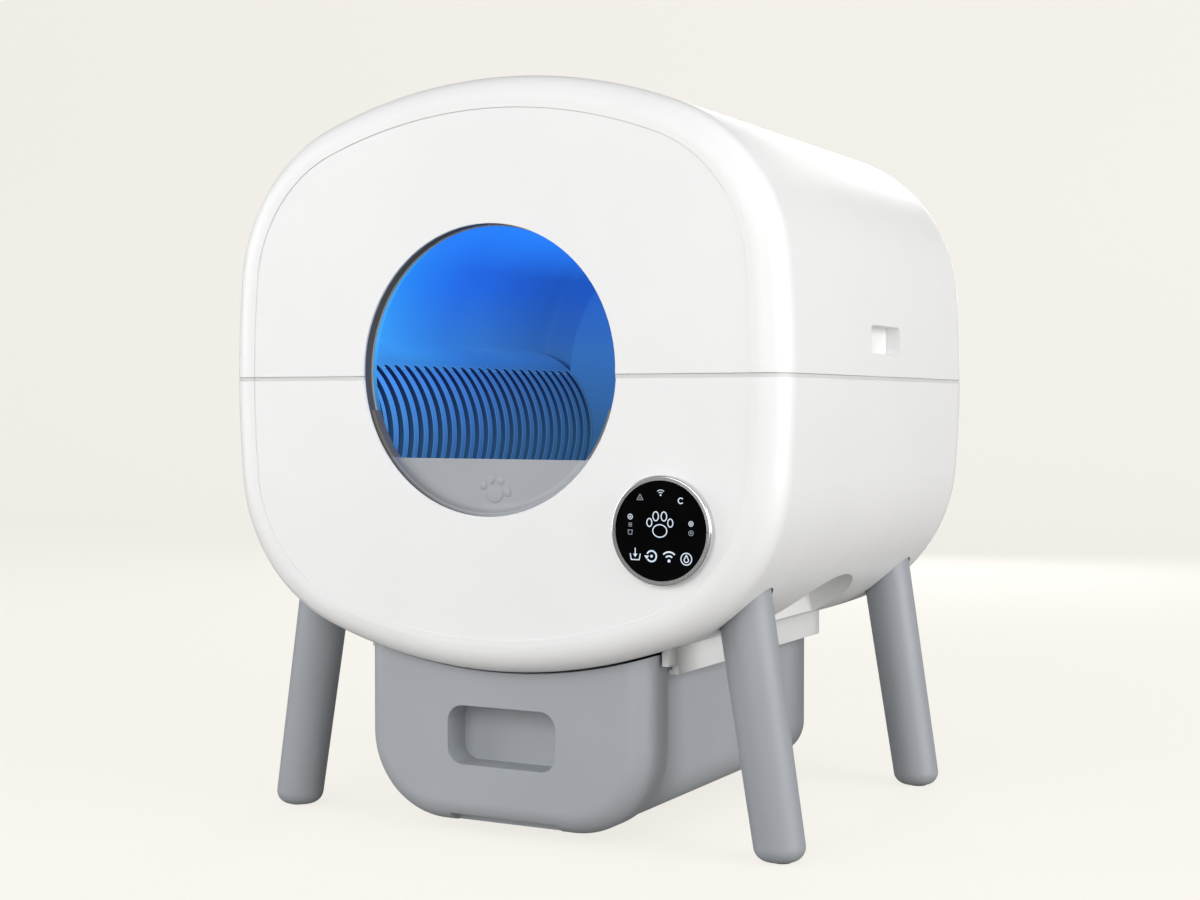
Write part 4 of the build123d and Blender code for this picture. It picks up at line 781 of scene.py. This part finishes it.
def finished(bm, name, body, finish, smooth=True):
    """Turns a bmesh into a piece that rides on a body and takes a slot's finish."""
    bmesh.ops.remove_doubles(bm, verts=bm.verts, dist=MERGE_DISTANCE)
    bmesh.ops.recalc_face_normals(bm, faces=bm.faces)
    for face in bm.faces:
        face.smooth = smooth
    mesh = bpy.data.meshes.new(name)
    bm.to_mesh(mesh)
    bm.free()
    mesh.materials.append(finish)
    piece = bpy.data.objects.new(name, mesh)
    bpy.context.collection.objects.link(piece)
    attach(piece, body)


# Symbols of the display, drawn in millimetres right of and above its centre

def on_glass(x, z):
    """A point on the front of the glass."""
    return Vector((GLASS_CENTRE.x + x * MM, GLASS_LOW.y, GLASS_CENTRE.z + z * MM))


def new_vertices(geometry):
    """The vertices among the elements that an operator gave back."""
    return [each for each in geometry if isinstance(each, bmesh.types.BMVert)]


def new_edges(geometry):
    """The edges among the elements that an operator gave back."""
    return [each for each in geometry if isinstance(each, bmesh.types.BMEdge)]


def stroke_line(bm, start, end, width=STROKE):
    """A flat straight stroke between two points."""
    first = on_glass(*start)
    along = on_glass(*end) - first
    across = along.cross(DEPTH).normalized() * width / 2
    edge = bm.edges.new((bm.verts.new(first - across), bm.verts.new(first + across)))
    grown = bmesh.ops.extrude_edge_only(bm, edges=[edge])["geom"]
    bmesh.ops.translate(bm, verts=new_vertices(grown), vec=along)


def stroke_arc(bm, centre, radius, start, sweep, width=STROKE):
    """A flat curved stroke about a centre, its angles in degrees from the right, anticlockwise."""
    middle = on_glass(*centre)
    first = math.radians(start)
    ray = Vector((math.cos(first), 0, math.sin(first)))
    inner = bm.verts.new(middle + ray * (radius * MM - width / 2))
    outer = bm.verts.new(middle + ray * (radius * MM + width / 2))
    edge = bm.edges.new((inner, outer))
    bmesh.ops.spin(
        bm, geom=[inner, outer, edge], cent=middle, axis=-DEPTH, angle=math.radians(sweep),
        steps=max(ARC_LEAST_STEPS, round(abs(sweep) / ARC_STEP)), use_merge=abs(sweep) >= 360,
    )


def stroke_dot(bm, centre, width, height):
    """A flat filled oval, and its face."""
    turned = Matrix.Translation(on_glass(*centre)) @ Matrix.Rotation(math.radians(90), 4, "X")
    shaped = turned @ Matrix.Diagonal((width * MM / 2, height * MM / 2, 1, 1))
    made = bmesh.ops.create_circle(bm, cap_ends=True, segments=DOT_STEPS, radius=1.0, matrix=shaped)
    return made["verts"][0].link_faces[0]


def stroke_oval(bm, centre, width, height, stroke=STROKE):
    """A flat outlined oval."""
    face = stroke_dot(bm, centre, width, height)
    bmesh.ops.inset_region(bm, faces=[face], thickness=stroke, use_boundary=True, use_even_offset=True)
    bmesh.ops.delete(bm, geom=[face], context="FACES")


def stroke_path(bm, points, width=STROKE):
    """Straight strokes from point to point, with round joints."""
    for start, end in zip(points, points[1:]):
        stroke_line(bm, start, end, width)
    for point in points[1:-1]:
        stroke_dot(bm, point, width / MM, width / MM)


def filled(bm, points):
    """A flat filled polygon."""
    bm.faces.new([bm.verts.new(on_glass(*point)) for point in points])


def shifted(points, x, z):
    """Points moved right and up."""
    return [(px + x, pz + z) for px, pz in points]


def signal_mark(bm, x, z, size, stroke):
    """A dot under arcs of waves."""
    foot = z - 0.45 * size
    stroke_dot(bm, (x, foot), 0.34 * size, 0.34 * size)
    for share in (0.52, 0.95):
        stroke_arc(bm, (x, foot), share * size, 45, 90, stroke)


def alert_mark(bm, x, z):
    """A triangle with a dot."""
    stroke_path(bm, shifted([(0, 2.5), (-2.7, -2.0), (2.7, -2.0), (0, 2.5), (-2.7, -2.0)], x, z), FINE_STROKE)
    stroke_dot(bm, (x, z - 0.5), 0.9, 1.5)


def ring_mark(bm, x, z, radius, stroke):
    """A ring with a gap at its right."""
    stroke_arc(bm, (x, z), radius, 40, 280, stroke)


def turning_mark(bm, x, z):
    """A round arrow about a dot."""
    stroke_arc(bm, (x, z), 4.3, 215, 300, BOLD_STROKE)
    filled(bm, shifted([(-6.6, 0.4), (-2.2, 0.4), (-4.4, -2.6)], x, z))
    stroke_dot(bm, (x, z), 2.3, 2.3)


def paw_mark(bm, x, z):
    """A paw in outline: a pad and four toes."""
    stroke_oval(bm, (x, z - 5.0), 13.5, 11.0)
    for toe_x, toe_z, width, height in (
        (-9.4, 1.6, 5.4, 7.4), (-3.7, 6.8, 5.8, 8.2), (3.7, 6.8, 5.8, 8.2), (9.4, 1.6, 5.4, 7.4)
    ):
        stroke_oval(bm, (x + toe_x, z + toe_z), width, height)


def badge_mark(bm, x, z):
    """A dot in a ring."""
    stroke_oval(bm, (x, z), 4.6, 4.6, FINE_STROKE)
    stroke_dot(bm, (x, z), 1.6, 1.6)


def cross_badge_mark(bm, x, z):
    """A small cross in a ring."""
    stroke_oval(bm, (x, z), 4.4, 4.4, FINE_STROKE)
    stroke_line(bm, (x - 1.1, z), (x + 1.1, z), FINE_STROKE)
    stroke_line(bm, (x, z - 1.1), (x, z + 1.1), FINE_STROKE)


def bars_mark(bm, x, z):
    """Three level bars."""
    for rise in (-1.2, 0.0, 1.2):
        stroke_line(bm, (x - 1.6, z + rise), (x + 1.6, z + rise), FINE_STROKE)


def bin_mark(bm, x, z):
    """A small open bin."""
    stroke_path(bm, shifted([(-1.9, 1.6), (-1.5, -1.8), (1.5, -1.8), (1.9, 1.6)], x, z), FINE_STROKE)
    stroke_line(bm, (x - 2.3, z + 1.6), (x + 2.3, z + 1.6), FINE_STROKE)


def tray_mark(bm, x, z):
    """An arrow into a tray."""
    stroke_path(bm, shifted([(-4.6, 0.4), (-3.6, -4.6), (3.6, -4.6), (4.6, 0.4)], x, z))
    stroke_line(bm, (x, z + 5.0), (x, z - 0.8))
    filled(bm, shifted([(-2.0, 0.2), (2.0, 0.2), (0, -2.6)], x, z))


def drop_badge_mark(bm, x, z):
    """A drop in a ring."""
    stroke_oval(bm, (x, z), 10.4, 10.4)
    stroke_arc(bm, (x, z - 0.8), 1.9, 150, 240)
    stroke_path(bm, shifted([(-1.65, 0.1), (0, 3.2), (1.65, 0.1)], x, z))


def symbol_sheet(name, finish, marks):
    """Marks printed as one thin layer on the glass."""
    bm = bmesh.new()
    for draw, *place in marks:
        draw(bm, *place)
    grown = bmesh.ops.extrude_face_region(bm, geom=bm.faces[:], use_keep_orig=True)["geom"]
    bmesh.ops.translate(bm, verts=new_vertices(grown), vec=-DEPTH * SYMBOL_THICKNESS)
    finished(bm, name, "base", finish, smooth=False)


def display_symbols():
    """The lit marks, and those that glow faintly."""
    symbol_sheet("display_symbols", LIGHT_SYMBOL, (
        (signal_mark, 0.0, 31.0, 4.4, FINE_STROKE),
        (ring_mark, 18.0, 24.8, 2.2, STROKE),
        (paw_mark, -0.7, 5.0),
        (badge_mark, -27.5, 10.9),
        (cross_badge_mark, 27.1, 6.5),
        (tray_mark, -22.9, -19.4),
        (turning_mark, -8.1, -20.7),
        (signal_mark, 7.6, -20.6, 7.6, BOLD_STROKE),
        (drop_badge_mark, 23.0, -22.0),
    ))
    symbol_sheet("display_faint_symbols", FAINT_SYMBOL, (
        (alert_mark, -18.6, 26.9),
        (bars_mark, -27.4, 4.4),
        (bin_mark, -27.5, -1.6),
        (badge_mark, 27.1, -1.0),
    ))


# Bezel ticks

def bezel_ticks():
    """Two small pale index ticks on the bezel, at its left and right."""
    bm = bmesh.new()
    middle_radius = GLASS_HIGH.x - GLASS_CENTRE.x + TICK_SIZE.x / 2
    front = BEZEL_LOW.y + TICK_SIZE.y / 2
    for side in (-1, 1):
        spot = Vector((GLASS_CENTRE.x + side * middle_radius, front, GLASS_CENTRE.z))
        shape = Matrix.Translation(spot) @ Matrix.Diagonal((*TICK_SIZE, 1))
        bmesh.ops.create_cube(bm, size=1.0, matrix=shape)
    bmesh.ops.bevel(
        bm, geom=bm.edges[:], offset=TICK_BEVEL, affect="EDGES", segments=2, profile=0.5, material=-1
    )
    finished(bm, "bezel_ticks", "base", FINISHES["rail"])


# Paw relief on the sill, its toes and its pad as place, width and height in millimetres

SILL_PAW = (
    (-8.5, 308.5, 7.0, 8.2),
    (-0.2, 313.6, 7.2, 8.4),
    (9.0, 313.0, 7.2, 8.4),
    (15.8, 302.7, 6.8, 8.0),
    (2.8, 300.7, 17.4, 14.3),
)


def guard_paw():
    """A small raised paw on the sill's face: four toes and a pad."""
    bm = bmesh.new()
    face_y = GUARD_LOW.y + SILL_FACE_SETBACK
    for x, z, width, height in SILL_PAW:
        spot = Vector((x * MM, face_y, z * MM))
        shape = Matrix.Translation(spot) @ Matrix.Diagonal((width * MM / 2, PAW_RISE, height * MM / 2, 1))
        bmesh.ops.create_uvsphere(bm, u_segments=24, v_segments=16, radius=1.0, matrix=shape)
    finished(bm, "guard_paw", "base", OWN_FINISHES["litter_guard"])


# Entry trim

def entry_lip():
    """A slim pale bead inside the ring, whose grey is painted dark as shade, at its rear edge."""
    bm = bmesh.new()
    middle = Vector((0, RING_HIGH.y - LIP_BEAD, ENTRY_CENTRE_Z))
    start = Matrix.Translation(middle + SIDEWAYS * (ENTRY_RADIUS - LIP_BEAD / 2))
    ring = bmesh.ops.create_circle(bm, segments=BEAD_STEPS, radius=LIP_BEAD, matrix=start)["verts"]
    bmesh.ops.spin(
        bm, geom=ring + bm.edges[:], cent=middle, axis=DEPTH, angle=FULL_TURN,
        steps=ROUND_STEPS, use_merge=True,
    )
    finished(bm, "entry_lip", "base", FINISHES["grey"])


# Stage, lights and camera

def studio_paper():
    """Pale paper that shows its own even tone to the camera."""
    made, tree, shader = material("studio paper")
    surface = grouped(tree, MOULDED, Grain_per_metre=300.0, Drift_per_metre=0.6)
    colour = mixed(tree, surface.outputs["Drift"], tone(245, 242, 236), tone(244, 241, 235))
    tree.links.new(colour, shader.inputs["Emission Color"])
    ray = node(tree, "ShaderNodeLightPath")
    level = ranged(tree, ray.outputs["Is Camera Ray"], PAPER_LEVEL, PAPER_SEEN_LEVEL, 0.0, 1.0)
    tree.links.new(level, shader.inputs["Emission Strength"])
    shader.inputs["Base Color"].default_value = tone(120, 118, 115)
    shader.inputs["Specular IOR Level"].default_value = 0.0
    shader.inputs["Roughness"].default_value = 0.9
    return made


def stage_sweep():
    """A plain pale floor that sweeps up into a backdrop behind the object."""
    bm = bmesh.new()
    left = bm.verts.new((-FLOOR_REACH, -FLOOR_REACH, 0))
    right = bm.verts.new((FLOOR_REACH, -FLOOR_REACH, 0))
    floor = bmesh.ops.extrude_edge_only(bm, edges=[bm.edges.new((left, right))])["geom"]
    bmesh.ops.translate(bm, verts=new_vertices(floor), vec=(0, FLOOR_REACH + SWEEP_START, 0))
    curve = bmesh.ops.spin(
        bm, geom=new_vertices(floor) + new_edges(floor), cent=(0, SWEEP_START, SWEEP_RADIUS),
        axis=SIDEWAYS, angle=math.radians(90), steps=SWEEP_STEPS,
    )["geom_last"]
    wall = bmesh.ops.extrude_edge_only(bm, edges=new_edges(curve))["geom"]
    bmesh.ops.translate(bm, verts=new_vertices(wall), vec=(0, 0, BACKDROP_HEIGHT))
    bmesh.ops.remove_doubles(bm, verts=bm.verts, dist=MERGE_DISTANCE)
    for face in bm.faces:
        face.smooth = True
    mesh = bpy.data.meshes.new("studio_sweep")
    bm.to_mesh(mesh)
    bm.free()
    mesh.materials.append(studio_paper())
    sweep = bpy.data.objects.new("studio_sweep", mesh)
    bpy.context.collection.objects.link(sweep)


def soft_light(name, place, size, power):
    """A large square area light that faces the object."""
    data = bpy.data.lights.new(name, "AREA")
    data.shape = "SQUARE"
    data.size = size
    data.energy = power
    lamp = bpy.data.objects.new(name, data)
    lamp.location = place
    lamp.rotation_euler = (Vector(OBJECT_MIDDLE) - Vector(place)).to_track_quat("-Z", "Y").to_euler()
    lamp.visible_camera = False
    bpy.context.collection.objects.link(lamp)


def pale_surround():
    """An even white surround, dimmer from above, and pale where the camera sees it."""
    world = bpy.data.worlds.new("pale surround")
    world.use_nodes = True
    sky = world.node_tree
    surround = next(each for each in sky.nodes if each.type == "BACKGROUND")
    surround.inputs["Color"].default_value = (1.0, 1.0, 1.0, 1.0)
    place = node(sky, "ShaderNodeTexCoord")
    parts = node(sky, "ShaderNodeSeparateXYZ")
    ray = node(sky, "ShaderNodeLightPath")
    seen = node(sky, "ShaderNodeMix")
    seen.inputs[VALUE_B].default_value = SURROUND_SEEN_LEVEL
    sky.links.new(place.outputs["Generated"], parts.inputs["Vector"])
    level = ranged(sky, parts.outputs["Z"], SURROUND_LEVEL, SURROUND_TOP_LEVEL, 0.0, 1.0)
    sky.links.new(level, seen.inputs[VALUE_A])
    sky.links.new(ray.outputs["Is Camera Ray"], seen.inputs["Factor"])
    sky.links.new(seen.outputs["Result"], surround.inputs["Strength"])
    bpy.context.scene.world = world


def studio():
    """Backdrop, soft lights and an even pale surround."""
    stage_sweep()
    for softbox in SOFTBOXES:
        soft_light(*softbox)
    pale_surround()


def camera():
    """The photograph's point of view."""
    data = bpy.data.cameras.new("front_camera")
    data.lens = CAMERA_LENS
    data.sensor_width = CAMERA_SENSOR
    view = bpy.data.objects.new("front_camera", data)
    view.location = CAMERA_PLACE
    view.rotation_euler = (math.radians(90 - CAMERA_PITCH), 0, math.radians(CAMERA_YAW))
    bpy.context.collection.objects.link(view)
    bpy.context.scene.camera = view


display_symbols()
bezel_ticks()
guard_paw()
entry_lip()
studio()
camera()
bpy.context.scene.view_settings.view_transform = "Standard"
